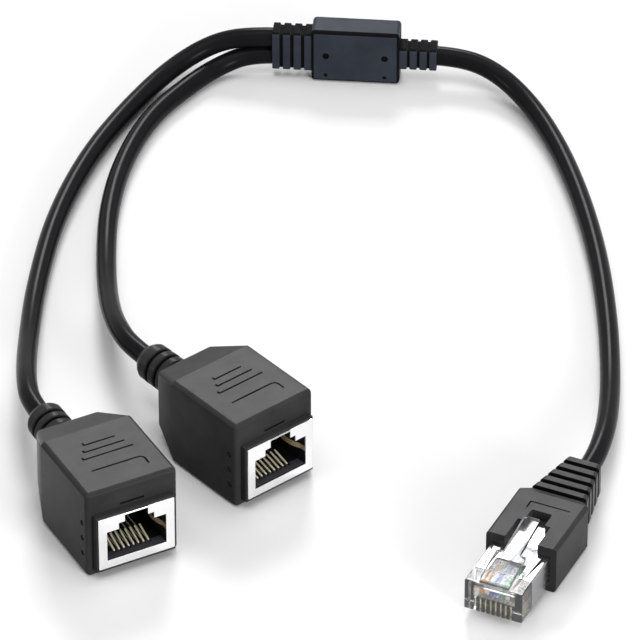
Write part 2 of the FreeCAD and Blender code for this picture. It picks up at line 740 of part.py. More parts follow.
def plug_shield():
    """Builds the shield folded round the plug, with a raised ground tongue each side of the latch."""
    along = ("plug_nose_length", "plug_length - plug_nose_length")
    outer = block("plug_shield_outer", middle("plug_width"), along, ("plug_underside", "plug_height"))
    inner = block("plug_shield_inner", middle("plug_width - 2 * plug_sheet"), along,
                  ("plug_underside + plug_sheet", "plug_height - 2 * plug_sheet"))
    tube = cut("plug_shield_tube", outer, [inner])
    tongue_y = ("plug_nose_length + tongue_back", "plug_nose_length + tongue_back + tongue_length")
    under = f"{PLUG_TOP} - plug_sheet"
    tongues = []
    for number, sign in enumerate((-1, 1), 1):
        x = (f"{sign} * tongue_offset - tongue_width / 2", f"{sign} * tongue_offset + tongue_width / 2")
        tongues.append(taper(f"ground_tongue_{number}", tongue_y, x, (under, PLUG_TOP), x,
                             (under, f"{PLUG_TOP} + tongue_rise")))
    return fuse("plug_shield", [tube] + tongues)


def plug_boot(wires):
    """Builds the boot: a block round the plug's rear and a ribbed relief that narrows to the cable."""
    centre = "boot_height / 2"
    straight_end = "boot_front + boot_length"
    neck_start = f"{straight_end} + boot_shoulder_length"
    boot_end = f"{neck_start} + boot_relief_length"
    neck_x = ("-boot_neck_width / 2", "boot_neck_width / 2")
    neck_z = ("boot_neck_drop", "boot_height - boot_neck_drop")
    end_x = ("-boot_end_width / 2", "boot_end_width / 2")
    end_z = (f"{centre} - boot_end_height / 2", f"{centre} + boot_end_height / 2")
    front = block("boot_main", middle("boot_width"), ("boot_front", "boot_length"), ("0", "boot_height"))
    shoulder = taper("boot_shoulder", (straight_end, neck_start), ("-boot_width / 2", "boot_width / 2"),
                     ("0", "boot_height"), neck_x, neck_z)
    bar = block("boot_bar", middle("boot_width"), ("boot_front", "boot_length + boot_shoulder_length"),
                ("0", "boot_height"))
    bar = round_edges("boot_round_bar", bar, size("boot_rounding"), runs_back)
    rounded = common("boot_rounded", bar, fuse("boot_blank", [front, shoulder]))
    rib = "boot_rib_depth"
    sunk = [(f"{low} + {rib}", f"{high} - {rib}") for low, high in (neck_x, neck_z, end_x, end_z)]
    core = taper("boot_core", (neck_start, boot_end), *sunk)
    full = taper("boot_rib_form", (neck_start, boot_end), neck_x, neck_z, end_x, end_z)
    pitch = f"boot_relief_length / {BOOT_RIBS}"
    slabs = []
    for number in range(BOOT_RIBS):
        y = (f"{neck_start} + {pitch} * {number} + boot_groove_width", f"{pitch} - boot_groove_width")
        slabs.append(block(f"boot_rib_{number + 1}", middle("boot_width"), y, ("0", "boot_height")))
    ribs = common("boot_ribs", full, fuse("boot_rib_slabs", slabs))
    outer = fuse("boot_outer", [rounded, core, ribs])
    pocket = block("boot_pocket", middle("plug_width"), ("boot_front", "plug_length - boot_front"),
                   ("plug_underside", "plug_height"))
    above = (PLUG_TOP, f"boot_height - ({PLUG_TOP})")
    window = block("boot_window", middle("boot_window_width"), ("boot_front", "boot_window_length"), above)
    slot = block("boot_slot", middle("boot_slot_width"), ("boot_front", "boot_slot_length"), above)
    grip = rod("boot_cable_bore", (0, 1, 0), "cable_diameter / 2", "cable_grip",
               ("0", f"{boot_end} - cable_grip", centre))
    left, length, back, leg = BOOT_LINE
    depth = ("boot_height - engraving_depth", "engraving_depth")
    line = block("boot_line", (left, length), (f"boot_front + {back}", "engraving_width"), depth)
    line_leg = block("boot_line_leg", (left, "engraving_width"),
                     (f"boot_front + {back} - {leg}", leg), depth)
    wire_space = shape_feature("boot_wire_space", wires)
    return cut("plug_boot", outer, [pocket, window, slot, grip, line, line_leg, wire_space])


def boot_end_place():
    """Gives how far behind the plug's tip its boot ends."""
    shoulder_end = size("boot_front") + size("boot_length") + size("boot_shoulder_length")
    return shoulder_end + size("boot_relief_length")


def build_plug():
    """Builds the plug with its blades, wires, shield, latch and boot."""
    row_height = size("plug_underside") + size("plug_wire_height")
    blades_end = size("blade_recess") + size("blade_length") + size("blade_clearance")
    end = boot_end_place() - size("cable_grip")
    places = (size("plug_wire_front"), blades_end, size("plug_length"), end - size("wire_tail"), end)
    wires = fanned_wires(range(WAYS), 1, row_height, size("boot_height") / 2, places)
    bundle = Part.makeCompound(wires)
    keep(plug_body(bundle), "plug_body", "plug")
    keep(plug_latch(), "plug_latch", "plug")
    keep(plug_shield(), "plug_shield", "plug")
    keep(plug_boot(bundle), "plug_boot", "plug")
    for way in range(WAYS):
        keep(plug_contact(way), f"plug_contact_{way + 1}", "plug")
    for way, wire in enumerate(wires, 1):
        keep(shape_feature(f"plug_wire_{way}", wire), f"plug_wire_{way}", "plug")


def cable_end(connector, face, inward, height):
    """Gives a cable's gripped end and its first bend outside, in the row frame.

    face is the place of the relief's end in the connector's frame, and inward the way into it.
    """
    placed = lying(connector)
    gripped = placed.multVec(face.add(inward * size("cable_grip")).add(Vector(0, 0, height)))
    bend = placed.multVec(face.sub(inward * size("cable_lead")).add(Vector(0, 0, height)))
    return gripped, bend


def build_cables():
    """Builds the trunk and the two branch cables along their chosen routes."""
    radius = size("cable_diameter") / 2
    half = size("junction_length") / 2
    left_face = Vector(-half - size("twin_relief_length"), 0, 0)
    right_face = Vector(half + size("single_relief_length"), 0, 0)
    jack_face = Vector(0, jack_end_place(), 0)
    boot_face = Vector(0, boot_end_place(), 0)
    forward = Vector(0, -1, 0)
    trunk_start = cable_end("junction", right_face, Vector(-1, 0, 0), size("trunk_height"))
    upper_start = cable_end("junction", left_face, Vector(1, 0, 0), size("upper_branch_height"))
    lower_start = cable_end("junction", left_face, Vector(1, 0, 0), size("lower_branch_height"))
    trunk_finish = cable_end("plug", boot_face, forward, size("boot_height") / 2)
    left_finish = cable_end("left", jack_face, forward, size("jack_relief_height"))
    right_finish = cable_end("right", jack_face, forward, size("jack_relief_height"))
    cables = {
        "trunk_cable": (trunk_start, TRUNK_ROUTE, trunk_finish),
        "left_branch_cable": (upper_start, LEFT_ROUTE, left_finish),
        "right_branch_cable": (lower_start, RIGHT_ROUTE, right_finish),
    }
    for label, (start, route, finish) in cables.items():
        middle_points = [Vector(x, y, radius + rise) for x, y, rise in route]
        points = [*start, *middle_points, finish[1], finish[0]]
        print(f"{label}: points {[tuple(round(value, 2) for value in point) for point in points]}")
        cable = shape_feature(label, cable_shape(label, points))
        cable.Label = label
        nodes.append(cable)


def check_and_export():
    """Checks every object of the document and writes one file for each piece."""
    doc.recompute()
    for item in doc.Objects:
        if "Invalid" in item.State or "Error" in item.State:
            raise RuntimeError(f"{item.Label} did not build: {item.State}")
    for node in nodes:
        if node.Shape.isNull() or not node.Shape.isValid():
            raise RuntimeError(f"{node.Label} has no valid shape")
    os.makedirs("parts", exist_ok=True)
    for node in nodes:
        node.Shape.exportStep(f"parts/{node.Label}.step")
    print(f"{len(nodes)} pieces, {sum(len(node.Shape.Solids) for node in nodes)} solids")


build_junction()
build_jack("right")
build_jack("left")
build_plug()
build_cables()
check_and_export()
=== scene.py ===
"""Looks of a network splitter lead: a shielded plug, a moulded junction and two female jacks.

Each connector is modelled about its own middle, in millimetres, with its mating face towards -Y,
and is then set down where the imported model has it.
"""

import logging
import math
from collections.abc import Callable, Iterable, Sequence
from dataclasses import dataclass, field
from enum import Enum
from typing import Any

import bmesh
import bpy
from mathutils import Matrix, Vector


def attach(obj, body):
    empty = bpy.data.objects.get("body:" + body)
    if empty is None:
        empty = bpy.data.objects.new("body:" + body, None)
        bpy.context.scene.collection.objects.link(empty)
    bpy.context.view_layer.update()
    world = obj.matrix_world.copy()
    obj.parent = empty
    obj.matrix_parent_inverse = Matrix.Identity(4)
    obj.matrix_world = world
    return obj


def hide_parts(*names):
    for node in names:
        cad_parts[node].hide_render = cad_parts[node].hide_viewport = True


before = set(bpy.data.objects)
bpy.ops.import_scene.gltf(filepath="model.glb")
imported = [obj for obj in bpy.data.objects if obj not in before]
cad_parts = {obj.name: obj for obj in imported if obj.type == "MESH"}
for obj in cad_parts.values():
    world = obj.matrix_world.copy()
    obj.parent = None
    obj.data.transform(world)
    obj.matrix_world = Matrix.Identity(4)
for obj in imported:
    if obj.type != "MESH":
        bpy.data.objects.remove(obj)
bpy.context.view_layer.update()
LOG = logging.getLogger("splitter_lead")

MM = 0.001
CLOSE = 1e-3  # in millimetres, how near a point lies to count as being there
ALONG = 0.9  # the share of a direction that makes it count as running along an axis
MARGIN = 0.5  # in millimetres, how far a cutting tool stands out of what it cuts
SKIN = 0.05  # in millimetres, the slack with which a sunken face is told from the outside
WAYS = range(1, 9)
WAY_PITCH = 1.02
CABLE_RADIUS = 2.0
BORE_DEPTH = 3.0

Point = Sequence[float]
Pair = tuple[float, float]
Colour = tuple[float, float, float]
Socket = bpy.types.NodeSocket
Chooser = Callable[[Vector, Vector], bool]


class Axis(Enum):
    """The three directions of a connector's own frame."""

    X = 0
    Y = 1
    Z = 2

    def unit(self) -> Vector:
        """Gives the direction as a unit vector."""
        return Vector([float(index == self.value) for index in range(3)])


class Rider(Enum):
    """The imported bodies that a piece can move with."""

    LEAD = "lead"
    LATCH = "latch"


# ---- modelling ----


def clear_selection() -> None:
    """Leaves edit mode and deselects every object."""
    active = bpy.context.view_layer.objects.active
    if active is not None and active.mode != "OBJECT":
        bpy.ops.object.mode_set(mode="OBJECT")
    bpy.ops.object.select_all(action="DESELECT")


def edges_along(axis: Axis, beyond: float = -math.inf, share: float = ALONG) -> Chooser:
    """Chooses the edges that run along an axis and have their middle past a place on Y."""
    return lambda middle, run: abs(run[axis.value]) > share and middle.y > beyond


def across(way: int) -> float:
    """Gives how far to the side of a plug's middle one of its eight ways lies."""
    return (way - 4.5) * WAY_PITCH


def arc(centre: Pair, radius: float, start: float, end: float, steps: int) -> list[Pair]:
    """Gives points along an arc in a plane.

    Args:
        centre: Its centre.
        radius: Its radius.
        start: The angle of its first point in degrees, from the first axis towards the second.
        end: The angle of its last point.
        steps: How many straight steps make it.

    Returns:
        The points as pairs.
    """
    angles = [math.radians(start + (end - start) * step / steps) for step in range(steps + 1)]
    return [(centre[0] + radius * math.cos(a), centre[1] + radius * math.sin(a)) for a in angles]


class Solid:
    """A mesh that is being modelled, with its sizes given in millimetres."""

    def __init__(self, thing: bpy.types.Object) -> None:
        """Takes over an object that Blender has just made."""
        self.thing = thing

    @classmethod
    def block(cls, name: str, low: Point, high: Point) -> "Solid":
        """Adds a block between two corners.

        Args:
            name: The name of the object.
            low: The lowest corner.
            high: The highest corner.

        Returns:
            The new solid.
        """
        clear_selection()
        centre = [(a + b) / 2 * MM for a, b in zip(low, high)]
        extent = [(b - a) * MM for a, b in zip(low, high)]
        bpy.ops.mesh.primitive_cube_add(size=1, location=centre, scale=extent)
        return cls.settled(name)

    @classmethod
    def rod(cls, name: str, start: Point, axis: Axis, radius: float, length: float,
            sides: int = 40) -> "Solid":
        """Adds a cylinder.

        Args:
            name: The name of the object.
            start: The middle of its first end.
            axis: The direction that it runs in.
            radius: Its radius.
            length: Its length.
            sides: The number of faces round it.

        Returns:
            The new solid.
        """
        clear_selection()
        centre = (Vector(start) + axis.unit() * length / 2) * MM
        turn = axis.unit().to_track_quat("Z", "Y").to_euler()
        bpy.ops.mesh.primitive_cylinder_add(vertices=sides, radius=radius * MM, depth=length * MM,
                                            location=centre, rotation=turn)
        return cls.settled(name)

    @classmethod
    def ribbon(cls, name: str, line: Sequence[Pair], width: float, thickness: float) -> "Solid":
        """Extrudes a strip along a line in the plane x = 0 and gives it a thickness.

        Args:
            name: The name of the object.
            line: The y and z of the strip's middle line.
            width: The strip's width across x.
            thickness: Its thickness, half to each side of the line.

        Returns:
            The new solid.
        """
        clear_selection()
        bpy.ops.mesh.primitive_plane_add(size=1, location=(0, 0, 0))
        solid = cls.settled(name)
        solid.enter()
        mesh = bmesh.from_edit_mesh(solid.thing.data)
        for vertex in mesh.verts:
            y, z = line[1] if vertex.co.y > 0 else line[0]
            vertex.co = Vector((math.copysign(width / 2, vertex.co.x), y, z)) * MM
        bmesh.update_edit_mesh(solid.thing.data)
        for before, after in zip(line[1:], line[2:]):
            end = Vector((0, *before))
            solid.select_edges(lambda middle, run: abs(run.x) > ALONG
                               and (middle - end).length < CLOSE)
            step = (0, (after[0] - before[0]) * MM, (after[1] - before[1]) * MM)
            bpy.ops.mesh.extrude_region_move(TRANSFORM_OT_translate={"value": step})
        solid.leave()
        solid.modify("SOLIDIFY", thickness=thickness * MM, offset=0, use_even_offset=True)
        return solid.face_outwards()

    @classmethod
    def stroke(cls, name: str, line: Sequence[Pair], width: float, low: float,
               high: float) -> "Solid":
        """Makes a strip that stands on edge along a line in the x-y plane, for engraving.

        Args:
            name: The name of the object.
            line: The x and y of the stroke's middle line.
            width: The stroke's width.
            low: The height of its underside.
            high: The height of its top.

        Returns:
            The new solid.
        """
        solid = cls.ribbon(name, line, high - low, width)
        lift = (low + high) / 2 * MM
        return solid.move_to(Matrix(((0, 1, 0, 0), (0, 0, 1, 0), (1, 0, 0, lift), (0, 0, 0, 1))))

    @classmethod
    def settled(cls, name: str) -> "Solid":
        """Takes over the active object and moves its place into its mesh.

        Args:
            name: The name that it gets.

        Returns:
            The new solid.
        """
        thing = bpy.context.object
        thing.name = thing.data.name = name
        bpy.ops.object.transform_apply(location=True, rotation=True, scale=True)
        return cls(thing)

    def activate(self) -> None:
        """Makes this the active object and the only one that is selected."""
        clear_selection()
        self.thing.select_set(True)
        bpy.context.view_layer.objects.active = self.thing

    def enter(self) -> None:
        """Starts editing this mesh, with nothing selected."""
        self.activate()
        bpy.ops.object.mode_set(mode="EDIT")
        bpy.ops.mesh.select_all(action="DESELECT")

    def leave(self) -> None:
        """Stops editing."""
        bpy.ops.object.mode_set(mode="OBJECT")

    def start_selecting(self, kind: str) -> bmesh.types.BMesh:
        """Prepares to select parts of one kind, in edit mode.

        Args:
            kind: VERT, EDGE or FACE.

        Returns:
            The mesh that is being edited.
        """
        bpy.ops.mesh.select_mode(type=kind)
        bpy.ops.mesh.select_all(action="DESELECT")
        return bmesh.from_edit_mesh(self.thing.data)

    def select_faces(self, chosen: Chooser) -> None:
        """Selects faces, in edit mode.

        Args:
            chosen: Says whether a face is selected, from its middle and normal.
        """
        mesh = self.start_selecting("FACE")
        for face in mesh.faces:
            face.select_set(chosen(face.calc_center_bounds() / MM, face.normal))
        bmesh.update_edit_mesh(self.thing.data)

    def select_edges(self, chosen: Chooser) -> None:
        """Selects edges, in edit mode.

        Args:
            chosen: Says whether an edge is selected, from its middle and direction.
        """
        mesh = self.start_selecting("EDGE")
        for edge in mesh.edges:
            first, last = (vertex.co for vertex in edge.verts)
            edge.select_set(chosen((first + last) / 2 / MM, (last - first).normalized()))
        bmesh.update_edit_mesh(self.thing.data)

    def slice(self, axis: Axis, places: Iterable[float]) -> "Solid":
        """Cuts new edge loops across the mesh.

        Args:
            axis: The direction that the cutting planes face.
            places: How far along it each plane lies.

        Returns:
            This solid.
        """
        self.enter()
        for place in places:
            bpy.ops.mesh.select_all(action="SELECT")
            bpy.ops.mesh.bisect(plane_co=axis.unit() * place * MM, plane_no=axis.unit())
        self.leave()
        return self

    def resize(self, axis: Axis, place: float, value: Point, centre: Point) -> "Solid":
        """Scales the part of the mesh that lies in one plane.

        Args:
            axis: The direction that the plane faces.
            place: How far along it the plane lies.
            value: The scale in x, y and z.
            centre: The point that stays where it is.

        Returns:
            This solid.
        """
        self.enter()
        mesh = self.start_selecting("VERT")
        for vertex in mesh.verts:
            vertex.select_set(abs(vertex.co[axis.value] / MM - place) < CLOSE)
        mesh.select_flush(True)
        bmesh.update_edit_mesh(self.thing.data)
        bpy.ops.transform.resize(value=value, center_override=Vector(centre) * MM)
        self.leave()
        return self

    def push(self, chosen: Chooser, distance: float) -> "Solid":
        """Extrudes the chosen faces as one region along their normals.

        Args:
            chosen: Says whether a face is extruded, from its middle and normal.
            distance: How far, inwards where it is below zero.

        Returns:
            This solid.
        """
        self.enter()
        self.select_faces(chosen)
        bpy.ops.mesh.extrude_region_shrink_fatten(
            TRANSFORM_OT_shrink_fatten={"value": distance * MM, "use_even_offset": True})
        self.leave()
        return self

    def groove(self, axis: Axis, bands: Sequence[Pair], depth: float) -> "Solid":
        """Sinks grooves that run right round the mesh.

        Args:
            axis: The direction that the grooves are spaced along.
            bands: The start and end of each groove along it.
            depth: How deep they are.

        Returns:
            This solid.
        """
        self.slice(axis, [place for band in bands for place in band])
        for low, high in bands:
            self.push(lambda middle, normal: low < middle[axis.value] < high
                      and abs(normal[axis.value]) < 0.7, -depth)
        return self

    def round_edges(self, chosen: Chooser, radius: float, segments: int = 4) -> "Solid":
        """Rounds the chosen edges.

        Args:
            chosen: Says whether an edge is rounded, from its middle and direction.
            radius: The radius of the rounding.
            segments: How many faces make it.

        Returns:
            This solid.
        """
        self.enter()
        self.select_edges(chosen)
        bpy.ops.mesh.bevel(offset=radius * MM, segments=segments, profile=0.5, clamp_overlap=True)
        self.leave()
        return self

    def modify(self, kind: str, **settings: Any) -> "Solid":
        """Adds a modifier and applies it.

        Args:
            kind: The modifier's type.
            **settings: Its values, by their names.

        Returns:
            This solid.
        """
        self.activate()
        modifier = self.thing.modifiers.new(kind.title(), kind)
        for key, value in settings.items():
            setattr(modifier, key, value)
        bpy.ops.object.modifier_apply(modifier=modifier.name)
        return self

    def soften(self, radius: float, segments: int = 2) -> "Solid":
        """Rounds every edge that turns by more than 35 degrees.

        Args:
            radius: The radius of the rounding.
            segments: How many faces make it.

        Returns:
            This solid.
        """
        return self.modify("BEVEL", width=radius * MM, segments=segments, limit_method="ANGLE",
                           angle_limit=math.radians(35), use_clamp_overlap=True,
                           miter_outer="MITER_ARC")

    def unite(self, *others: "Solid") -> "Solid":
        """Joins other solids to this one, into one closed skin."""
        return self.combine(others, "UNION")

    def carve(self, *others: "Solid") -> "Solid":
        """Takes other solids out of this one."""
        return self.combine(others, "DIFFERENCE")

    def combine(self, others: Sequence["Solid"], operation: str) -> "Solid":
        """Runs a boolean operation with each of the others, and removes them.

        Args:
            others: The other solids.
            operation: UNION or DIFFERENCE.

        Returns:
            This solid.
        """
        for other in others:
            self.modify("BOOLEAN", object=other.thing, operation=operation, solver="EXACT")
            bpy.data.objects.remove(other.thing)
        return self

    def face_outwards(self) -> "Solid":
        """Merges doubled points and points every face outwards.

        Returns:
            This solid.
        """
        self.enter()
        bpy.ops.mesh.select_all(action="SELECT")
        bpy.ops.mesh.remove_doubles(threshold=1e-7)
        bpy.ops.mesh.normals_make_consistent(inside=False)
        self.leave()
        return self

    def move_to(self, matrix: Matrix) -> "Solid":
        """Moves and turns the mesh by a matrix in metres, and keeps the object at the origin.

        Args:
            matrix: Where the mesh goes.

        Returns:
            This solid.
        """
        self.thing.matrix_world = matrix
        self.activate()
        bpy.ops.object.transform_apply(location=True, rotation=True, scale=True)
        return self

    def turn(self, angle: float, centre: Point) -> "Solid":
        """Turns the mesh by degrees about the line along x through a point."""
        pivot = Matrix.Translation(Vector(centre) * MM)
        return self.move_to(pivot @ Matrix.Rotation(math.radians(angle), 4, "X") @ pivot.inverted())

    def mark(self, chosen: Chooser) -> "Solid":
        """Marks the faces that get the piece's second, darker finish, which paints shade on them.

        Args:
            chosen: Says whether a face is marked, from its middle and normal.

        Returns:
            This solid.
        """
        # Marked faces are where shade is painted.
        marks = self.thing.data.attributes.new("painted_shade", "BOOLEAN", "FACE")
        for face, mark in zip(self.thing.data.polygons, marks.data):
            mark.value = chosen(Vector(face.center) / MM, Vector(face.normal))
        return self

    def copy(self, name: str) -> "Solid":
        """Makes a copy with its own mesh.

        Args:
            name: The copy's name.

        Returns:
            The copy.
        """
        self.activate()
        bpy.ops.object.duplicate(linked=False)
        twin = bpy.context.object
        twin.name = twin.data.name = name
        return Solid(twin)

    def smooth(self, angle: float = 30.0) -> "Solid":
        """Shades the mesh smooth between its sharp edges, and keeps its flat faces flat.

        Args:
            angle: How many degrees an edge turns by to be sharp.

        Returns:
            This solid.
        """
        self.activate()
        bpy.ops.object.shade_smooth_by_angle(angle=math.radians(angle))
        return self.modify("WEIGHTED_NORMAL", keep_sharp=True)


# ---- finishes ----


class Tree:
    """The nodes of one material, with short calls for what the finishes share."""

    def __init__(self, material: bpy.types.Material) -> None:
        """Starts from the material's own shader.

        Args:
            material: The material, with its nodes switched on.
        """
        self.nodes = material.node_tree.nodes
        self.links = material.node_tree.links
        self.shader = self.nodes["Principled BSDF"]
        self.place = self.nodes.new("ShaderNodeTexCoord").outputs["Object"]

    def fix(self, **sockets: Any) -> None:
        """Sets constant values on the shader. An underscore stands for a space."""
        for name, value in sockets.items():
            self.shader.inputs[name.replace("_", " ")].default_value = value

    def drive(self, name: str, source: Socket) -> None:
        """Links a pattern to one of the shader's sockets."""
        self.links.new(source, self.shader.inputs[name])

    def stretched(self, scale: Point) -> Socket:
        """Scales the Object coordinates.

        Args:
            scale: The scale along each axis.

        Returns:
            The coordinates.
        """
        mapping = self.nodes.new("ShaderNodeMapping")
        mapping.inputs["Scale"].default_value = scale
        self.links.new(self.place, mapping.inputs["Vector"])
        return mapping.outputs["Vector"]

    def noise(self, scale: float, detail: float = 2.0, place: Socket | None = None) -> Socket:
        """Adds a noise pattern.

        Args:
            scale: How fine it is, in repeats for each metre.
            detail: How many finer layers it has.
            place: The coordinates to read, or None for the object's own.

        Returns:
            The pattern, from 0 to 1.
        """
        node = self.nodes.new("ShaderNodeTexNoise")
        node.inputs["Scale"].default_value = scale
        node.inputs["Detail"].default_value = detail
        self.links.new(self.place if place is None else place, node.inputs["Vector"])
        return node.outputs["Fac"]

    def ramp(self, factor: Socket, stops: Sequence[tuple[float, Point]]) -> Socket:
        """Maps a pattern to colours.

        Args:
            factor: The pattern.
            stops: Each stop's place and its colour.

        Returns:
            The colour.
        """
        node = self.nodes.new("ShaderNodeValToRGB")
        elements = node.color_ramp.elements
        for index, (place, colour) in enumerate(stops):
            element = elements[index] if index < 2 else elements.new(place)
            element.position = place
            element.color = (*colour[:3], 1)
        self.links.new(factor, node.inputs["Fac"])
        return node.outputs["Color"]

    def paint(self, factor: Socket, *stops: tuple[float, Point]) -> None:
        """Gives the shader a base colour that follows a pattern."""
        self.drive("Base Color", self.ramp(factor, stops))

    def gloss(self, factor: Socket, low: float, high: float) -> None:
        """Gives the shader a roughness that follows the middle of a pattern.

        Args:
            factor: The pattern.
            low: The roughness where the pattern is low.
            high: The roughness where it is high.
        """
        node = self.nodes.new("ShaderNodeMapRange")
        ends = {"From Min": 0.3, "From Max": 0.7, "To Min": low, "To Max": high}
        for name, value in ends.items():
            node.inputs[name].default_value = value
        self.links.new(factor, node.inputs["Value"])
        self.drive("Roughness", node.outputs["Result"])

    def bump(self, height: Socket, distance: float, strength: float = 1.0) -> None:
        """Raises the surface by a pattern.

        Args:
            height: The pattern.
            distance: How high its full range stands, in metres.
            strength: How strongly it shows.
        """
        node = self.nodes.new("ShaderNodeBump")
        node.inputs["Distance"].default_value = distance
        node.inputs["Strength"].default_value = strength
        self.links.new(height, node.inputs["Height"])
        self.drive("Normal", node.outputs["Normal"])


@dataclass(frozen=True)
class Finish:
    """A surface finish that can be made into a material."""

    name: str
    slot: str

    def material(self) -> bpy.types.Material:
        """Gives the finish's material, made once.

        Returns:
            The material.
        """
        made = bpy.data.materials.get(f"{self.name}_finish")
        if made is None:
            made = bpy.data.materials.new(f"{self.name}_finish")
            made.use_nodes = True
            self.dress(Tree(made))
        return made

    def dress(self, tree: Tree) -> None:
        """Fills in the material's nodes."""
        raise NotImplementedError


def lighter(colour: Point, factor: float) -> Point:
    """Scales a colour's brightness."""
    return tuple(min(1.0, part * factor) for part in colour)


@dataclass(frozen=True)
class MouldedPlastic(Finish):
    """Moulded black or dark plastic with a fine spark-eroded grain."""

    colour: Colour = (0.03, 0.03, 0.03)
    roughness: Pair = (0.42, 0.5)
    specular: float = 0.5
    grain: float = 0.00002

    def dress(self, tree: Tree) -> None:
        """Lays cloudy colour and gloss over a fine grain.

        Args:
            tree: The material's nodes.
        """
        tree.paint(tree.noise(160, 3), (0.3, lighter(self.colour, 0.85)),
                   (0.7, lighter(self.colour, 1.18)))
        tree.gloss(tree.noise(420, 4), *self.roughness)
        tree.bump(tree.noise(5200, 3), self.grain)
        tree.fix(Specular_IOR_Level=self.specular)


@dataclass(frozen=True)
class CableJacket(Finish):
    """Smooth black sheathing with faint marks from its extrusion."""

    colour: Colour = (0.008, 0.008, 0.009)
    roughness: Pair = (0.22, 0.27)
    specular: float = 0.04
    grain: float = 0.000002

    def dress(self, tree: Tree) -> None:
        """Lays faint scuffs over a smooth skin.

        Args:
            tree: The material's nodes.
        """
        tree.paint(tree.noise(300, 4), (0.35, self.colour), (0.75, lighter(self.colour, 1.25)))
        tree.gloss(tree.noise(700, 3), *self.roughness)
        tree.bump(tree.noise(900, 2), self.grain)
        tree.fix(Specular_IOR_Level=self.specular)


@dataclass(frozen=True)
class PlatedSheet(Finish):
    """Bright plated sheet with a fine rolled grain."""

    colour: Colour = (0.96, 0.96, 0.965)
    roughness: Pair = (0.16, 0.26)
    grain: float = 0.000004

    def dress(self, tree: Tree) -> None:
        """Stretches a noise into rolling marks and clouds the colour.

        Args:
            tree: The material's nodes.
        """
        rolled = tree.noise(1.0, 3, tree.stretched((900, 90, 5200)))
        tree.paint(tree.noise(240, 3), (0.3, lighter(self.colour, 0.95)), (0.7, self.colour))
        tree.gloss(rolled, *self.roughness)
        tree.bump(rolled, self.grain)
        tree.fix(Metallic=1.0)


@dataclass(frozen=True)
class GoldPlate(Finish):
    """Thin gold over a nickel underlayer; its tan copy on the ground springs paints a reflection of
    the gold contacts.
    """

    colour: Colour = (1.0, 0.92, 0.68)
    roughness: Pair = (0.34, 0.44)
    metallic: float = 0.25

    def dress(self, tree: Tree) -> None:
        """Varies the tone and gloss along the strip.

        Args:
            tree: The material's nodes.
        """
        tree.paint(tree.noise(900, 3), (0.3, lighter(self.colour, 0.9)), (0.7, self.colour))
        tree.gloss(tree.noise(2200, 2), *self.roughness)
        tree.fix(Metallic=self.metallic)


@dataclass(frozen=True)
class ClearPlastic(Finish):
    """Clear moulded plastic with faint flow lines."""

    tint: Colour = (0.97, 0.98, 0.98)
    # Colour where the skin is seen edge on: painted shade.
    edge: Colour = (0.2, 0.21, 0.22)
    index: float = 1.45
    clearness: float = 1.0
    roughness: Pair = (0.0, 0.04)
    ripple: float = 0.00002
    mirror: Colour = (0.12, 0.12, 0.12)

    def dress(self, tree: Tree) -> None:
        """Lets light through a faintly rippled skin, with shade painted in where it is seen edge
        on.

        Args:
            tree: The material's nodes.
        """
        ripple = tree.noise(420, 2)
        # Darkens the colour towards edge-on views: painted shade.
        facing = tree.nodes.new("ShaderNodeLayerWeight")
        facing.inputs["Blend"].default_value = 0.5
        tree.paint(facing.outputs["Facing"], (0.42, self.tint), (0.72, self.edge))
        tree.gloss(ripple, *self.roughness)
        tree.bump(ripple, self.ripple, 0.3)
        tree.fix(Transmission_Weight=self.clearness, IOR=self.index,
                 Specular_Tint=(*self.mirror, 1))


@dataclass(frozen=True)
class Insulation(Finish):
    """Coloured wire insulation, plain or white with a coloured stripe."""

    colour: Colour = (0.5, 0.5, 0.5)
    striped: bool = False
    pale: Colour = (0.82, 0.81, 0.78)
    roughness: Pair = (0.3, 0.42)

    def dress(self, tree: Tree) -> None:
        """Paints the stripe as broken bands, as on twisted pairs.

        Args:
            tree: The material's nodes.
        """
        cloud = tree.noise(500, 3)
        if self.striped:
            band = tree.noise(1.0, 1, tree.stretched((620, 620, 260)))
            tree.paint(band, (0.44, self.pale), (0.52, self.colour), (0.6, self.pale))
        else:
            tree.paint(cloud, (0.3, lighter(self.colour, 0.8)), (0.7, self.colour))
        tree.gloss(cloud, *self.roughness)


HOUSING = MouldedPlastic("black_moulding", "housing_moulding", (0.041, 0.041, 0.042),
                         (0.17, 0.21), 0.024)
# Near-black copy of the moulding for the bottoms of grooves, lines and recesses: painted shade.
GROOVE_SHADE = MouldedPlastic("groove_painted_shade", "housing_moulding", (0.006, 0.006, 0.006),
                        (0.5, 0.6), 0.02)
JUNCTION = MouldedPlastic("blue_grey_moulding", "junction_moulding", (0.041, 0.047, 0.062),
                          (0.36, 0.42), 0.03)
INSERT = MouldedPlastic("insert_plastic", "insert_plastic", (0.01, 0.01, 0.011),
                        (0.4, 0.5), 0.1, 0.00001)
LIP = MouldedPlastic("lip_plastic", "insert_plastic", (0.06, 0.06, 0.072),
                     (0.4, 0.5), 0.2, 0.00001)
SLEEVE = MouldedPlastic("splice_plastic", "splice_sleeve", (0.6, 0.6, 0.56), (0.4, 0.5))
JACKET = CableJacket("cable_jacket", "cable_jacket")
SHEET = PlatedSheet("plated_sheet", "shield_metal")
# Plated sheet darker than the jacks': partly the steel's own grey, partly painted shade for the
# plug's shaded sides.
PLUG_SHEET_AND_SHADE = PlatedSheet("plug_sheet_and_painted_shade", "shield_metal", (0.36, 0.36, 0.37), (0.2, 0.3))
GOLD = GoldPlate("gold_plate", "gold_contact")
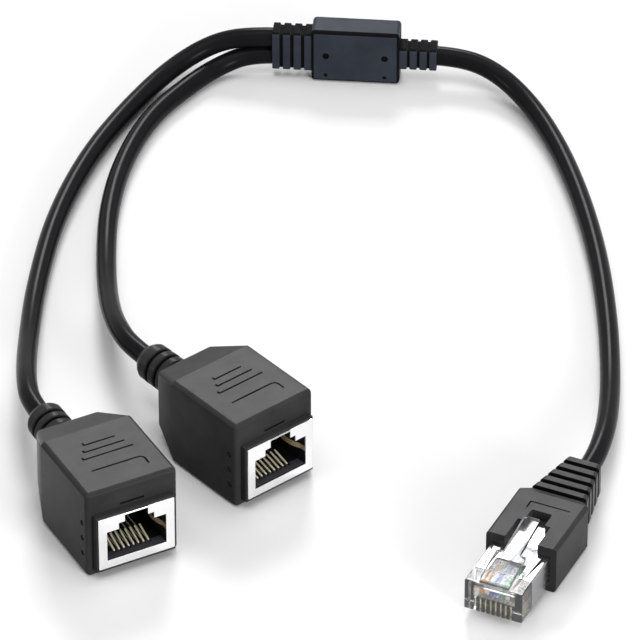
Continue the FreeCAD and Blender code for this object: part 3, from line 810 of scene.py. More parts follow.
# Tan on the ground springs, which are folded from the shield sheet: painted reflection of the gold
# contacts.
SPRING_REFLECTION = GoldPlate("spring_painted_reflection", "gold_contact", (0.5, 0.4, 0.24), (0.38, 0.5))
CLEAR = ClearPlastic("clear_plastic", "clear_plastic", clearness=0.9)
CLEAR_LATCH = ClearPlastic("clear_latch", "clear_latch", (0.98, 0.99, 0.99),
                           (0.6, 0.61, 0.62), 1.12, 0.97)
# Near-black clear copy for the latch's end and one side: painted shade.
CLEAR_LATCH_SHADE = ClearPlastic("clear_latch_painted_shade", "clear_latch", (0.05, 0.05, 0.055),
                          (0.03, 0.03, 0.035), 1.12, 0.9)
# Darker clear copy for the sides of the nose: painted shade.
BODY_SIDE_SHADE = ClearPlastic("body_side_painted_shade", "clear_plastic", (0.5, 0.5, 0.51),
                         (0.2, 0.2, 0.21), clearness=0.95)
ORANGE, BLUE = (0.9, 0.3, 0.03), (0.02, 0.07, 0.55)
GREEN, BROWN = (0.01, 0.4, 0.1), (0.16, 0.06, 0.02)
WIRES = [
    Insulation("white_orange_wire", "wire_white_orange", ORANGE, True),
    Insulation("orange_wire", "wire_orange", ORANGE),
    Insulation("white_green_wire", "wire_white_green", GREEN, True),
    Insulation("blue_wire", "wire_blue", BLUE),
    Insulation("white_blue_wire", "wire_white_blue", BLUE, True),
    Insulation("green_wire", "wire_green", GREEN),
    Insulation("white_brown_wire", "wire_white_brown", BROWN, True),
    Insulation("brown_wire", "wire_brown", BROWN),
]
JUNCTION_WIRE = Insulation("junction_wire", "junction_wire", (0.45, 0.36, 0.28), True)


def dress(thing: bpy.types.Object, finish: Finish) -> None:
    """Gives an object one finish all over."""
    thing.data.materials.clear()
    thing.data.materials.append(finish.material())


def dress_node(name: str, finish: Finish) -> None:
    """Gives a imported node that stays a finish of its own."""
    dress(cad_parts[name], finish)


# ---- connectors ----


@dataclass
class Connector:
    """Something that is modelled about its own middle and lies somewhere on the surface."""

    x: float
    y: float
    turn: float

    def add(self, solid: Solid, finish: Finish, *nodes: str, rider: Rider = Rider.LEAD,
            painted_shade: Finish | None = None) -> None:
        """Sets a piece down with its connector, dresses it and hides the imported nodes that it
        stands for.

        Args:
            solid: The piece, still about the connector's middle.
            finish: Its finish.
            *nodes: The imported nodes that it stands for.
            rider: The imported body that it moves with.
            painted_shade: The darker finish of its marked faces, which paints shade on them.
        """
        spot = Matrix.Translation(Vector((self.x, self.y, 0)) * MM)
        thing = solid.move_to(spot @ Matrix.Rotation(math.radians(self.turn), 4, "Z")).thing
        dress(thing, finish)
        # Marked faces take the darker finish: painted shade.
        if painted_shade is not None:
            thing.data.materials.append(painted_shade.material())
            marks = thing.data.attributes["painted_shade"]
            for face, mark in zip(thing.data.polygons, marks.data):
                face.material_index = int(mark.value)
            thing.data.attributes.remove(marks)
        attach(thing, rider.value)
        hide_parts(*nodes)
        LOG.info("%s: %d faces", thing.name, len(thing.data.polygons))


@dataclass
class Junction(Connector):
    """The moulding in which the trunk divides into two branches."""

    length: float = 18.0
    depth: float = 6.2
    height: float = 12.0
    edge: float = 0.8
    relief_depth: float = 5.0
    relief_edge: float = 0.9
    relief_overlap: float = 1.2
    twin_end: float = -17.0
    twin_low: float = 1.7
    twin_high: float = 10.6
    twin_bores: Pair = (4.1, 8.2)
    single_end: float = 16.5
    single_low: float = 3.1
    single_high: float = 8.1
    single_bore: float = 5.6
    rib_depth: float = 0.4
    rib_width: float = 1.45
    rib_count: int = 4
    mark_x: float = 6.0
    pin_mark_z: float = 6.2
    pin_mark_radius: float = 0.7
    pin_mark_depth: float = 0.25
    low_mark_z: float = 1.6
    low_mark_radius: float = 0.4
    low_mark_depth: float = 0.12

    def relief(self, name: str, low: Point, high: Point, body_end: float) -> Solid:
        """Models one flat strain relief with its grooves.

        Args:
            name: The name of the object.
            low: Its lowest corner.
            high: Its highest corner.
            body_end: Where the body ends and the relief's first rib begins.

        Returns:
            The relief.
        """
        solid = Solid.block(name, low, high)
        solid.round_edges(edges_along(Axis.X), self.relief_edge)
        start, end = (low[0], body_end) if body_end < 0 else (body_end, high[0])
        pitch = (end - start - self.rib_width) / (self.rib_count - 1)
        bands = [(start + pitch * rib + self.rib_width, start + pitch * (rib + 1))
                 for rib in range(self.rib_count - 1)]
        return solid.groove(Axis.X, bands, self.rib_depth).soften(0.18)

    def marks(self) -> list[Solid]:
        """Models the round marks on the front, as tools.

        Returns:
            The tools.
        """
        front, ends = -self.depth / 2 - MARGIN, (-self.mark_x, self.mark_x)
        pins = [Solid.rod("pin_mark", (x, front, self.pin_mark_z), Axis.Y, self.pin_mark_radius,
                          MARGIN + self.pin_mark_depth, 24) for x in ends]
        return pins + [Solid.rod("low_mark", (x, front, self.low_mark_z), Axis.Y,
                                 self.low_mark_radius, MARGIN + self.low_mark_depth, 20)
                       for x in ends]

    def moulding(self) -> Solid:
        """Models the body, both reliefs, the cable openings and the round marks.

        Returns:
            The moulding, with its dark faces marked.
        """
        half, back, side = self.length / 2, self.depth / 2, self.relief_depth / 2
        inner = half - self.relief_overlap
        body = Solid.block("junction_moulding", (-half, -back, 0), (half, back, self.height))
        body.soften(self.edge, 5)
        twin = self.relief("twin_relief", (self.twin_end, -side, self.twin_low),
                           (-inner, side, self.twin_high), -half)
        single = self.relief("single_relief", (inner, -side, self.single_low),
                             (self.single_end, side, self.single_high), half)
        body.unite(twin, single)
        starts = [(self.twin_end - 1, z) for z in self.twin_bores]
        starts.append((self.single_end - 2, self.single_bore))
        tools = self.marks() + [Solid.rod("cable_bore", (x, 0, z), Axis.X, CABLE_RADIUS, BORE_DEPTH)
                                for x, z in starts]
        return body.carve(*tools).smooth().mark(self.gets_painted_shade)

    def gets_painted_shade(self, middle: Vector, normal: Vector) -> bool:
        """Says whether a face lies in a groove of a relief or at the bottom of a mark, where shade
        is painted.

        Args:
            middle: The face's middle.
            normal: Its normal.

        Returns:
            Whether it gets the dark finish that paints shade.
        """
        half, sunk = self.length / 2, self.rib_depth - SKIN
        if abs(middle.x) <= half:
            return abs(middle.x) < half and -self.depth / 2 + SKIN < middle.y < 0
        low, high = ((self.twin_low, self.twin_high) if middle.x < 0
                     else (self.single_low, self.single_high))
        in_side = abs(middle.y) < self.relief_depth / 2 - sunk
        in_top = low + sunk < middle.z < high - sunk and abs(middle.y) < 1.0
        return (in_side or in_top) and abs(normal.x) < 0.5

    def build(self) -> None:
        """Makes the junction's pieces."""
        self.add(self.moulding(), JUNCTION, "junction_housing", painted_shade=GROOVE_SHADE)
        dress_node("junction_splices", SLEEVE)
        dress_node("junction_wires", JUNCTION_WIRE)


@dataclass
class Jack(Connector):
    """A female jack in a moulded housing with a round strain relief."""

    side: str = "right"
    width: float = 19.0
    height: float = 19.0
    length: float = 18.8
    edge: float = 0.9
    rear: float = 27.1
    rear_width: float = 13.0
    rear_low: float = 3.0
    rear_high: float = 15.5
    relief_end: float = 38.1
    relief_radius: float = 3.9
    relief_height: float = 9.4
    relief_rib: float = 1.7
    relief_pitch: float = 2.433
    relief_rings: Sequence[Pair] = ((0.0, 2.6), (0.5, 3.05), (1.1, 3.5), (1.7, 3.8))
    bridge_angles: Pair = (-38, 218)
    bridge_radius: float = 3.2
    bridge_width: float = 0.84
    groove_depth: float = 0.6
    face_width: float = 15.8
    face_low: float = 2.3
    face_high: float = 13.9
    neck_front: float = -1.5
    neck_wall: float = 0.3
    neck_sill: float = 0.7
    sheet: float = 0.3
    shield_depth: float = 14.0
    port_width: float = 12.3
    port_low: float = 4.05
    port_high: float = 10.6
    step_width: float = 7.35
    step_high: float = 11.95
    notch_width: float = 4.8
    lip_width: float = 12.2
    lip_low: float = 3.6
    lip_back: float = 0.55
    lip_slot: float = 0.52
    seat: float = 3.4
    contact_seat: Pair = (15.6, 8.0)
    contact_rise: tuple[float, float, float] = (1.2, 2.4, 3.7)
    contact_width: float = 0.38
    contact_thickness: float = 0.25
    contact_front: float = 0.9
    contact_bend: float = 0.22
    contact_slope: float = 17.0
    spring_width: float = 1.1
    spring_bow: float = 8.0
    spring_reach: float = 0.9
    spring_y: float = 3.25
    spring_rise: float = 3.35
    line_width: float = 0.42
    line_depth: float = 0.25
    line_hook: float = 0.9
    grip_lines: Sequence[tuple[float, float, float]] = (
        (14.1, -2.95, 6.6), (12.1, -3.9, 8.55), (10.1, -5.05, 10.65))
    long_line: tuple[Pair, Pair] = ((-5.0, 6.475), (5.575, 3.9))
    long_line_bend: float = 1.0
    dimple_y: float = 1.9
    dimple_radius: float = 0.6
    dimple_heights: tuple[float, float, float] = (4.6, 8.1, 11.6)
    bar_width: float = 5.0
    bar_low: float = 14.6
    bar_high: float = 15.1

    def relief(self) -> Solid:
        """Models the round strain relief with its broken grooves and narrowing end.

        Returns:
            The relief.
        """
        start, middle = self.rear - 1.0, self.relief_height
        solid = Solid.rod("relief", (0, start, middle), Axis.Y, self.relief_radius,
                          self.relief_end - start, 56)
        rings = [(self.relief_end - inset, radius / self.relief_radius)
                 for inset, radius in self.relief_rings]
        solid.slice(Axis.Y, [place for place, _ in rings[1:]])
        for place, ratio in rings:
            solid.resize(Axis.Y, place, (ratio, 1, ratio), (0, place, middle))
        first = self.rear + self.relief_rib
        grooves = [(first + self.relief_pitch * step, self.rear + self.relief_pitch * (step + 1))
                   for step in range(3)]
        solid.groove(Axis.Y, grooves, self.groove_depth).soften(0.3, 3)
        last, half = grooves[-1][1], self.bridge_width / 2
        for angle in self.bridge_angles:
            x = self.bridge_radius * math.cos(math.radians(angle))
            z = self.bridge_radius * math.sin(math.radians(angle)) + middle
            solid.unite(Solid.block("bridge", (x - half, first - 0.5, z - 0.5),
                                    (x + half, last + 0.5, z + 0.5)))
        return solid

    def engraving(self) -> list[Solid]:
        """Models the lines that are engraved on the top, as tools.

        Returns:
            The tools.
        """
        low, high, half = self.height - self.line_depth, self.height + 1, self.line_width / 2
        lines = [[(left + half, back + self.line_hook), (left + half, back + half),
                  (left + length, back + half)] for back, left, length in self.grip_lines]
        start, end = self.long_line
        bend = self.long_line_bend
        corner = arc((end[0] - bend, start[1] - bend), bend, 90, 0, 6)
        lines.append([start, *corner, end])
        return [Solid.stroke("engraved_line", line, self.line_width, low, high) for line in lines]

    def housing(self) -> Solid:
        """Models the overmoulded housing.

        Returns:
            The housing, with the faces that get painted shade marked.
        """
        half = self.width / 2
        body = Solid.block("housing", (-half, 0, 0), (half, self.rear, self.height))
        body.slice(Axis.Y, [self.length])
        ratio = (self.rear_high - self.rear_low) / self.height
        fixed = self.rear_low / (1 - ratio)
        body.resize(Axis.Y, self.rear, (self.rear_width / self.width, 1, ratio),
                    (0, self.rear, fixed))
        body.soften(self.edge, 5)
        side = self.face_width / 2 + self.neck_wall
        neck = Solid.block("neck", (-side, self.neck_front, self.face_low - self.neck_sill),
                           (side, 1.0, self.face_high + self.neck_wall))
        body.unite(neck.soften(0.12), self.relief())
        inner = self.face_width / 2 - self.sheet
        mouth = Solid.block("mouth", (-inner, self.neck_front - 1, self.face_low + self.sheet),
                            (inner, self.shield_depth, self.face_high - self.sheet))
        dimples = [Solid.rod("dimple", (-half - MARGIN, self.dimple_y, z), Axis.X,
                             self.dimple_radius, MARGIN + self.line_depth, 20)
                   for z in self.dimple_heights]
        bore = Solid.rod("bore", (0, self.relief_end - 2, self.relief_height), Axis.Y,
                         CABLE_RADIUS, BORE_DEPTH)
        bar = Solid.block("bar", (-self.bar_width / 2, -1, self.bar_low),
                          (self.bar_width / 2, 0.22, self.bar_high))
        body.carve(mouth, bore, bar, *self.engraving(), *dimples)
        return body.smooth(20).mark(self.gets_painted_shade)

    def gets_painted_shade(self, middle: Vector, normal: Vector) -> bool:
        """Says whether a face is in a groove of the relief, at the bottom of a line or at the back
        of the bar recess, where shade is painted.

        Args:
            middle: The face's middle.
            normal: Its normal.

        Returns:
            Whether it gets the dark finish that paints shade.
        """
        if middle.y > self.rear + 0.5:
            radius = math.hypot(middle.x, middle.z - self.relief_height)
            in_band = self.relief_rib - 0.02 < (middle.y - self.rear) % self.relief_pitch
            before_nose = middle.y < self.relief_end - 1.5
            return radius < self.relief_radius - 0.2 and in_band and before_nose
        if middle.z > self.height - self.line_depth - SKIN:
            return middle.z < self.height - self.line_depth + SKIN and normal.z > ALONG
        return 0.1 < middle.y < 1.0 and middle.z > self.bar_low - 0.3 and normal.y < -ALONG

    def lip(self) -> Solid:
        """Models the grey lip in front of the contacts, with a slot for each.

        Returns:
            The lip.
        """
        half, gap = self.lip_width / 2, self.lip_slot / 2
        lip = Solid.block("lip", (-half, self.neck_front + 0.1, self.lip_low),
                          (half, self.lip_back, self.port_low + 0.06))
        slots = [Solid.block("slot", (-across(way) - gap, -0.15, self.lip_low + 0.1),
                             (-across(way) + gap, self.lip_back + 0.15, 5)) for way in WAYS]
        return lip.soften(0.05).carve(*slots).smooth()

    def port(self, depth: float, top: float) -> list[Solid]:
        """Models the keyed opening as tools.

        Args:
            depth: How far back it reaches.
            top: How high its notch reaches.

        Returns:
            The tools.
        """
        front, half = self.neck_front - 1, self.port_width / 2
        step, notch = self.step_width / 2, self.notch_width / 2
        return [Solid.block("port", (-half, front, self.port_low), (half, depth, self.port_high)),
                Solid.block("step", (-step, front, self.port_high - 0.1),
                            (step, depth, self.step_high)),
                Solid.block("notch", (-notch, front, self.step_high - 0.05), (notch, depth, top))]

    def shield(self) -> Solid:
        """Models the folded shield with its face round the port.

        Returns:
            The shield.
        """
        front, half = self.neck_front - self.sheet, self.face_width / 2
        plate = Solid.block("shield", (-half, front, self.face_low),
                            (half, self.neck_front, self.face_high))
        plate.round_edges(edges_along(Axis.Y), 0.25, 3)
        plate.carve(*self.port(self.neck_front + 0.5, self.face_high + 1))
        outer, inner = half - self.sheet, half - 2 * self.sheet
        low, high = self.face_low + self.sheet, self.face_high - self.sheet
        tube = Solid.block("tube", (-outer, self.neck_front - 0.1, low),
                           (outer, self.shield_depth, high)).soften(0.2)
        tube.carve(Solid.block("inside", (-inner, self.neck_front - 1, low + self.sheet),
                               (inner, self.shield_depth + 1, high - self.sheet)))
        return plate.soften(0.06).unite(tube).smooth()

    def ground_spring(self, sign: int) -> Solid:
        """Models one ground spring, with a flat foot at the port's mouth and an arch into the port.

        Args:
            sign: 1 for the spring at high x, and -1 for the one at low x.

        Returns:
            The spring.
        """
        wall, bow = self.port_width / 2, self.spring_bow - self.sheet / 2
        edge, centre = wall + self.sheet / 2, wall - self.spring_reach + self.spring_bow
        reach, steps = math.acos((centre - edge) / bow), 14
        line = [(self.neck_front, edge)]
        for step in range(steps + 1):
            turned = -reach + 2 * reach * step / steps
            line.append((self.spring_y + bow * math.sin(turned), centre - bow * math.cos(turned)))
        strip = Solid.ribbon("ground_spring", line, self.spring_width, self.sheet).soften(0.06, 1)
        lift = (self.port_low + self.spring_rise) * MM
        flipped = Matrix(((0, 0, sign, 0), (0, 1, 0, 0), (-sign, 0, 0, lift), (0, 0, 0, 1)))
        return strip.move_to(flipped).smooth(40)

    def contact(self, way: int) -> Solid:
        """Models one sprung contact, with its seated leg, front bend and rising leg.

        Args:
            way: Its number, from 1 to 8.

        Returns:
            The contact.
        """
        slope, front, bend = math.radians(self.contact_slope), self.contact_front, self.contact_bend
        low = self.seat + self.contact_thickness / 2
        line = [(y, low) for y in (*self.contact_seat, front)]
        line += arc((front, low + bend), bend, 270, 90 + self.contact_slope, 10)[1:]
        y, z = line[-1]
        line += [(y + step * math.cos(slope), z + step * math.sin(slope))
                 for step in self.contact_rise]
        strip = Solid.ribbon(f"contact_{way}", line, self.contact_width, self.contact_thickness)
        strip.soften(0.05, 1).move_to(Matrix.Translation(Vector((-across(way), 0, 0)) * MM))
        return strip.smooth(40)

    def build(self, models: "JackModels") -> None:
        """Places copies of the jack's modelled pieces and dresses the nodes that stay.

        Args:
            models: The pieces that both jacks share.
        """
        prefix = f"jack_{self.side}"
        self.add(models.copy("housing", f"{prefix}_housing_look"), HOUSING,
                 f"{prefix}_housing", painted_shade=GROOVE_SHADE)
        self.add(models.copy("shield", f"{prefix}_shield_look"), SHEET, f"{prefix}_shield")
        self.add(models.copy("lip", f"{prefix}_lip"), LIP)
        # The ground springs get a tan painted reflection.
        for number in (1, 2):
            piece = models.copy(f"spring_{number}", f"{prefix}_ground_spring_{number}")
            self.add(piece, SPRING_REFLECTION, f"{prefix}_shield")
        for way in WAYS:
            piece = models.copy(f"contact_{way}", f"{prefix}_contact_{way}_look")
            self.add(piece, GOLD, f"{prefix}_contact_{way}")
        dress_node(f"{prefix}_insert", INSERT)
        for way in (1, 2, 3, 6):
            dress_node(f"{prefix}_wire_{way}", WIRES[way - 1])


@dataclass
class JackModels:
    """The pieces that both jacks share, modelled once."""

    parts: dict[str, Solid] = field(default_factory=dict)

    @classmethod
    def model(cls, jack: Jack) -> "JackModels":
        """Models the pieces by one jack's sizes.

        Args:
            jack: The jack whose sizes are used.

        Returns:
            The models.
        """
        parts = {"housing": jack.housing(), "shield": jack.shield(), "lip": jack.lip()}
        for number, sign in ((1, -1), (2, 1)):
            parts[f"spring_{number}"] = jack.ground_spring(sign)
        for way in WAYS:
            parts[f"contact_{way}"] = jack.contact(way)
        return cls(parts)

    def copy(self, part: str, name: str) -> Solid:
        """Makes a named copy of one of the pieces."""
        return self.parts[part].copy(name)

    def discard(self) -> None:
        """Removes the models once their copies are placed."""
        for solid in self.parts.values():
            bpy.data.objects.remove(solid.thing)


@dataclass
class Plug(Connector):
    """The shielded male plug with its latch and boot."""

    width: float = 11.7
    low: float = 1.4
    high: float = 8.0
    nose: float = 4.5
    length: float = 21.5
    sheet: float = 0.25
    blade_slot: float = 0.4
    blade_slot_end: float = 6.15
    chamber_width: float = 8.3
    chamber_span: Pair = (0.8, 6.3)
    chamber_heights: Pair = (4.57, 6.45)
    hollow_width: float = 8.1
    hollow_heights: Pair = (3.9, 6.1)
    tip_y: float = 0.9
    tip_z: float = 5.85
    tip_radius: float = 0.48
    tip_length: float = 4.6
    opening_width: float = 6.2
    opening_end: float = 8.6
    tongue_front: float = 0.6
    tongue_sides: Pair = (3.35, 4.85)
    tongue_end: float = 6.5
    tongue_rise: float = 0.5
    window_sides: Pair = (3.2, 5.25)
    window_end: float = 6.9
    latch_y: float = 1.3
    latch_z: float = 8.65
    latch_radius: float = 0.6
    latch_thickness: float = 0.9
    latch_slope: float = 9.5
    shoulder_width: float = 5.9
    shoulder_length: float = 7.2
    lever_width: float = 3.25
    lever_length: float = 17.0
    boot_front: float = 12.8
    boot_straight: float = 27.6
    boot_neck: float = 29.4
    boot_end: float = 42.3
    boot_width: float = 14.3
    boot_height: float = 10.0
    boot_neck_width: float = 11.6
    boot_neck_height: float = 8.4
    boot_end_width: float = 6.9
    boot_end_ratio: float = 0.7
    boot_ribs: int = 5
    boot_groove: float = 1.2
    boot_groove_depth: float = 0.85
    spine_width: float = 11.4
    spine_end_width: float = 6.8
    spine_low: float = 4.0
    spine_high: float = 5.3
    boot_window_width: float = 6.6
    boot_window_length: float = 6.0
    boot_slot_width: float = 4.2
    boot_slot_length: float = 9.6
    line_width: float = 0.35
    line_depth: float = 0.25
    boot_line: Sequence[Pair] = ((-3.225, 22.6), (-3.225, 24.575), (4.8, 24.575))

    def body(self) -> Solid:
        """Models the clear body with its blade slots, its wire chamber and the latch's cradle.

        Returns:
            The body, with its side edges marked.
        """
        half, inner = self.width / 2, self.width / 2 - self.sheet - 0.02
        body = Solid.block("plug_body_look", (-half, 0, self.low), (half, self.nose, self.high))
        body.soften(0.25, 3)
        rear = Solid.block("rear", (-inner, self.nose - 1, self.low + self.sheet + 0.02),
                           (inner, self.length, self.high - self.sheet - 0.02))
        side = self.shoulder_width / 2
        cradle = Solid.block("cradle", (-side, 0.35, self.high - 0.4),
                             (side, self.latch_y, self.latch_z)).soften(0.08)
        body.unite(rear, cradle)
        root = Solid.rod("root", (-4, self.latch_y, self.latch_z), Axis.X,
                         self.latch_radius + 0.05, 8, 32)
        (front, back), (low, high) = self.chamber_span, self.chamber_heights
        side, gap = self.chamber_width / 2, self.blade_slot / 2
        chamber = Solid.block("chamber", (-side, front, low), (side, back, high))
        slots = [Solid.block("slot", (across(way) - gap, -1, 0),
                             (across(way) + gap, self.blade_slot_end, low + 0.005))
                 for way in WAYS]
        side, (low, high) = self.hollow_width / 2, self.hollow_heights
        hollow = Solid.block("hollow", (-side, back - SKIN, low), (side, self.length + 1, high))
        body.carve(root, chamber, hollow, *slots).smooth()
        # The sides of the nose get painted shade.
        return body.mark(lambda middle, normal: middle.y < self.nose
                         and abs(middle.x) > half - 0.3 and abs(normal.x) > 0.3)

    def latch(self) -> Solid:
        """Models the latch: its round root, the broad shoulders and the tapering lever.

        Returns:
            The latch, with its end and one side marked for painted shade.
        """
        y, z, side = self.latch_y, self.latch_z, self.shoulder_width / 2
        root = Solid.rod("plug_latch_look", (-side, y, z), Axis.X, self.latch_radius,
                         self.shoulder_width, 32)
        low, high = z - self.latch_thickness / 2, z + self.latch_thickness / 2
        broad = Solid.block("broad", (-side, y, low), (side, y + self.shoulder_length, high))
        broad.round_edges(edges_along(Axis.Z, 5), 0.5, 3)
        half = self.lever_width / 2
        lever = Solid.block("lever", (-half, y, low), (half, y + self.lever_length, high))
        lever.round_edges(edges_along(Axis.Z, 9), 0.4, 4)
        broad.unite(lever).soften(0.12).turn(self.latch_slope, (0, y, low))
        root.unite(broad).smooth()
        # The lever's end and one side get painted shade.
        return root.mark(lambda middle, normal: middle.y > 3 and max(normal.x, normal.y) > ALONG)

    def shield(self) -> Solid:
        """Models the shield folded round the body, cut out for the latch, with its raised tongues.

        Returns:
            The shield.
        """
        half, inner = self.width / 2, self.width / 2 - self.sheet
        tube = Solid.block("plug_shield_look", (-half, self.nose, self.low),
                           (half, self.length, self.high))
        tube.round_edges(edges_along(Axis.Y), 0.35, 4)
        tube.carve(Solid.block("inside", (-inner, self.nose - 1, self.low + self.sheet),
                               (inner, self.length + 1, self.high - self.sheet)))
        side = self.opening_width / 2
        opening = Solid.block("opening", (-side, self.nose - 1, self.high - 0.6),
                              (side, self.opening_end, self.high + 1))
        opening.round_edges(edges_along(Axis.Z, 5), 0.6, 4)
        tube.carve(opening)
        low, rise = self.high - self.sheet, self.tongue_rise
        for sign in (-1, 1):
            tube.carve(self.tongue_part("window", sign, self.window_sides, self.window_end,
                                        low - 0.5, self.high + 1))
            tongue = self.tongue_part("tongue", sign, self.tongue_sides, self.tongue_end,
                                      low, self.high + rise)
            flat = (1, 1, self.sheet / (self.sheet + rise))
            tongue.resize(Axis.Y, self.nose + self.tongue_front, flat, (0, 0, low)).soften(0.06)
            tube.unite(tongue)
        return tube.smooth()

    def tongue_part(self, name: str, sign: int, span: Pair, end: float, low: float,
                    high: float) -> Solid:
        """Models a tapering block for a ground tongue, or for the wider window round it.

        Args:
            name: The name of the object.
            sign: 1 for the tongue at high x, and -1 for the one at low x.
            span: How far from the middle its two sides lie at the rear.
            end: Where it ends behind the nose.
            low: The height of its underside.
            high: The height of its top.

        Returns:
            The block.
        """
        sides, front = sorted(sign * part for part in span), self.nose + self.tongue_front
        part = Solid.block(name, (sides[0], front, low), (sides[1], self.nose + end, high))
        return part.resize(Axis.Y, front, (0.5, 1, 1), (sign * 3.5, 0, low))

    def shade_block(self, sign: int) -> Solid:
        """Models a dark block inside the clear body, under the window round a ground tongue:
        painted shade for the recess.

        Args:
            sign: 1 for the block at high x, and -1 for the one at low x.

        Returns:
            The dark block.
        """
        name = f"plug_recess_{'right' if sign > 0 else 'left'}"
        near, far = self.window_sides
        return self.tongue_part(name, sign, (near + SKIN, far - SKIN), self.window_end - SKIN,
                                self.high - 0.75, self.high - 0.4).soften(0.04)

    def wire_tip(self, way: int) -> Solid:
        """Models the front end of one wire, which shows through the nose.

        Args:
            way: The wire's number, from 1 to 8.

        Returns:
            The wire's end.
        """
        tip = Solid.rod(f"plug_wire_tip_{way}", (across(way), self.tip_y, self.tip_z), Axis.Y,
                        self.tip_radius, self.tip_length, 20)
        return tip.soften(0.12).smooth()

    def boot_block(self) -> Solid:
        """Models the boot's outside: its block, shoulder and grooved relief with its spines.

        Returns:
            The block.
        """
        half, top, middle = self.boot_width / 2, self.boot_height, self.boot_height / 2
        neck, end = self.boot_neck, self.boot_end
        boot = Solid.block("plug_boot_look", (-half, self.boot_front, 0), (half, end, top))
        boot.slice(Axis.Y, [self.boot_straight, neck])
        boot.resize(Axis.Y, neck, (self.boot_neck_width / self.boot_width, 1,
                                   self.boot_neck_height / top), (0, neck, middle))
        boot.resize(Axis.Y, end, (self.boot_end_width / self.boot_width, 1, self.boot_end_ratio),
                    (0, end, middle))
        boot.round_edges(edges_along(Axis.Y, share=0.5), 0.75, 4)
        starts = [neck + self.boot_pitch() * rib for rib in range(self.boot_ribs)]
        boot.groove(Axis.Y, [(start, start + self.boot_groove) for start in starts],
                    self.boot_groove_depth).soften(0.13)
        side, last = self.spine_width / 2, end - 0.3
        spine = Solid.block("spine", (-side, neck - 0.2, self.spine_low),
                            (side, last, self.spine_high))
        ratio = self.spine_end_width / self.spine_width
        spine.resize(Axis.Y, last, (ratio, 1, 1), (0, 0, 0)).soften(0.1)
        return boot.unite(spine)

    def boot_pitch(self) -> float:
        """Gives the distance from one groove of the boot to the next."""
        return (self.boot_end - self.boot_neck) / self.boot_ribs

    def boot(self) -> Solid:
        """Models the boot with its pocket, latch window and engraved line.

        Returns:
            The boot, with the faces that get painted shade marked.
        """
        top, front, half = self.boot_height, self.boot_front, self.width / 2
        boot = self.boot_block()
        pocket = Solid.block("pocket", (-half, front - 1, self.low), (half, self.length, self.high))
        low, side = self.high - 0.1, self.boot_window_width / 2
        window = Solid.block("window", (-side, front - 1, low),
                             (side, front + self.boot_window_length, top + 1))
        side = self.boot_slot_width / 2
        slot = Solid.block("slot", (-side, front - 1, low),
                           (side, front + self.boot_slot_length, top + 1))
        slot.round_edges(edges_along(Axis.Z, 15), 0.5, 4)
        line = Solid.stroke("boot_line", self.boot_line, self.line_width, top - self.line_depth,
                            top + 1)
        bore = Solid.rod("bore", (0, self.boot_end - 2, top / 2), Axis.Y, CABLE_RADIUS, BORE_DEPTH)
        boot.carve(pocket, window.unite(slot).soften(0.1), line, bore)
        return boot.smooth(23).mark(self.gets_painted_shade)

    def gets_painted_shade(self, middle: Vector, normal: Vector) -> bool:
        """Says whether a face of the boot is in a groove or at the bottom of the line, where shade
        is painted.

        Args:
            middle: The face's middle.
            normal: Its normal.

        Returns:
            Whether it gets the dark finish that paints shade.
        """
        past, top = middle.y - self.boot_neck + 0.02, self.boot_height
        in_groove = past > 0 and past % self.boot_pitch() < self.boot_groove + 0.04
        off_spine = abs(normal.z) > 0.7 or abs(middle.z - 4.65) > 0.75
        in_line = top - 0.3 < middle.z < top - 0.15 and normal.z > ALONG
        return in_groove and off_spine or in_line

    def build(self) -> None:
        """Makes the plug's pieces."""
        self.add(self.body(), CLEAR, "plug_body", painted_shade=BODY_SIDE_SHADE)
        self.add(self.latch(), CLEAR_LATCH, "plug_latch", rider=Rider.LATCH, painted_shade=CLEAR_LATCH_SHADE)
        self.add(self.shield(), PLUG_SHEET_AND_SHADE, "plug_shield")
        self.add(self.boot(), HOUSING, "plug_boot", painted_shade=GROOVE_SHADE)
        # Dark blocks inside the clear body under the tongue windows: painted shade.
        for sign in (-1, 1):
            self.add(self.shade_block(sign), INSERT)
        for way in WAYS:
            dress_node(f"plug_contact_{way}", GOLD)
            dress_node(f"plug_wire_{way}", WIRES[way - 1])
            self.add(self.wire_tip(way), WIRES[way - 1])


# ---- cables ----


@dataclass
class Cable:
    """A round cable on one smooth line."""

    name: str
    length: float
    exit: Point
    route: Sequence[Point]
    diameter: float = 2 * CABLE_RADIUS

    def build(self) -> None:
        """Makes the cable from its route, in millimetres."""
        curve = bpy.data.curves.new(f"{self.name}_look", "CURVE")
        curve.dimensions = "3D"
        spline = curve.splines.new("NURBS")
        spline.points.add(len(self.route) - 1)
        for point, place in zip(spline.points, self.route):
            point.co = (*(Vector(place) * MM), 1)
        spline.order_u = 3
        spline.use_endpoint_u = True
        curve.resolution_u = 16
        curve.bevel_depth = self.diameter / 2 * MM
        curve.bevel_resolution = 8
        curve.use_fill_caps = True
        thing = bpy.data.objects.new(f"{self.name}_look", curve)
        bpy.context.scene.collection.objects.link(thing)
        dress(thing, JACKET)
        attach(thing, Rider.LEAD.value)
        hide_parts(self.name)
        LOG.info("%s: %d points", thing.name, len(self.route))


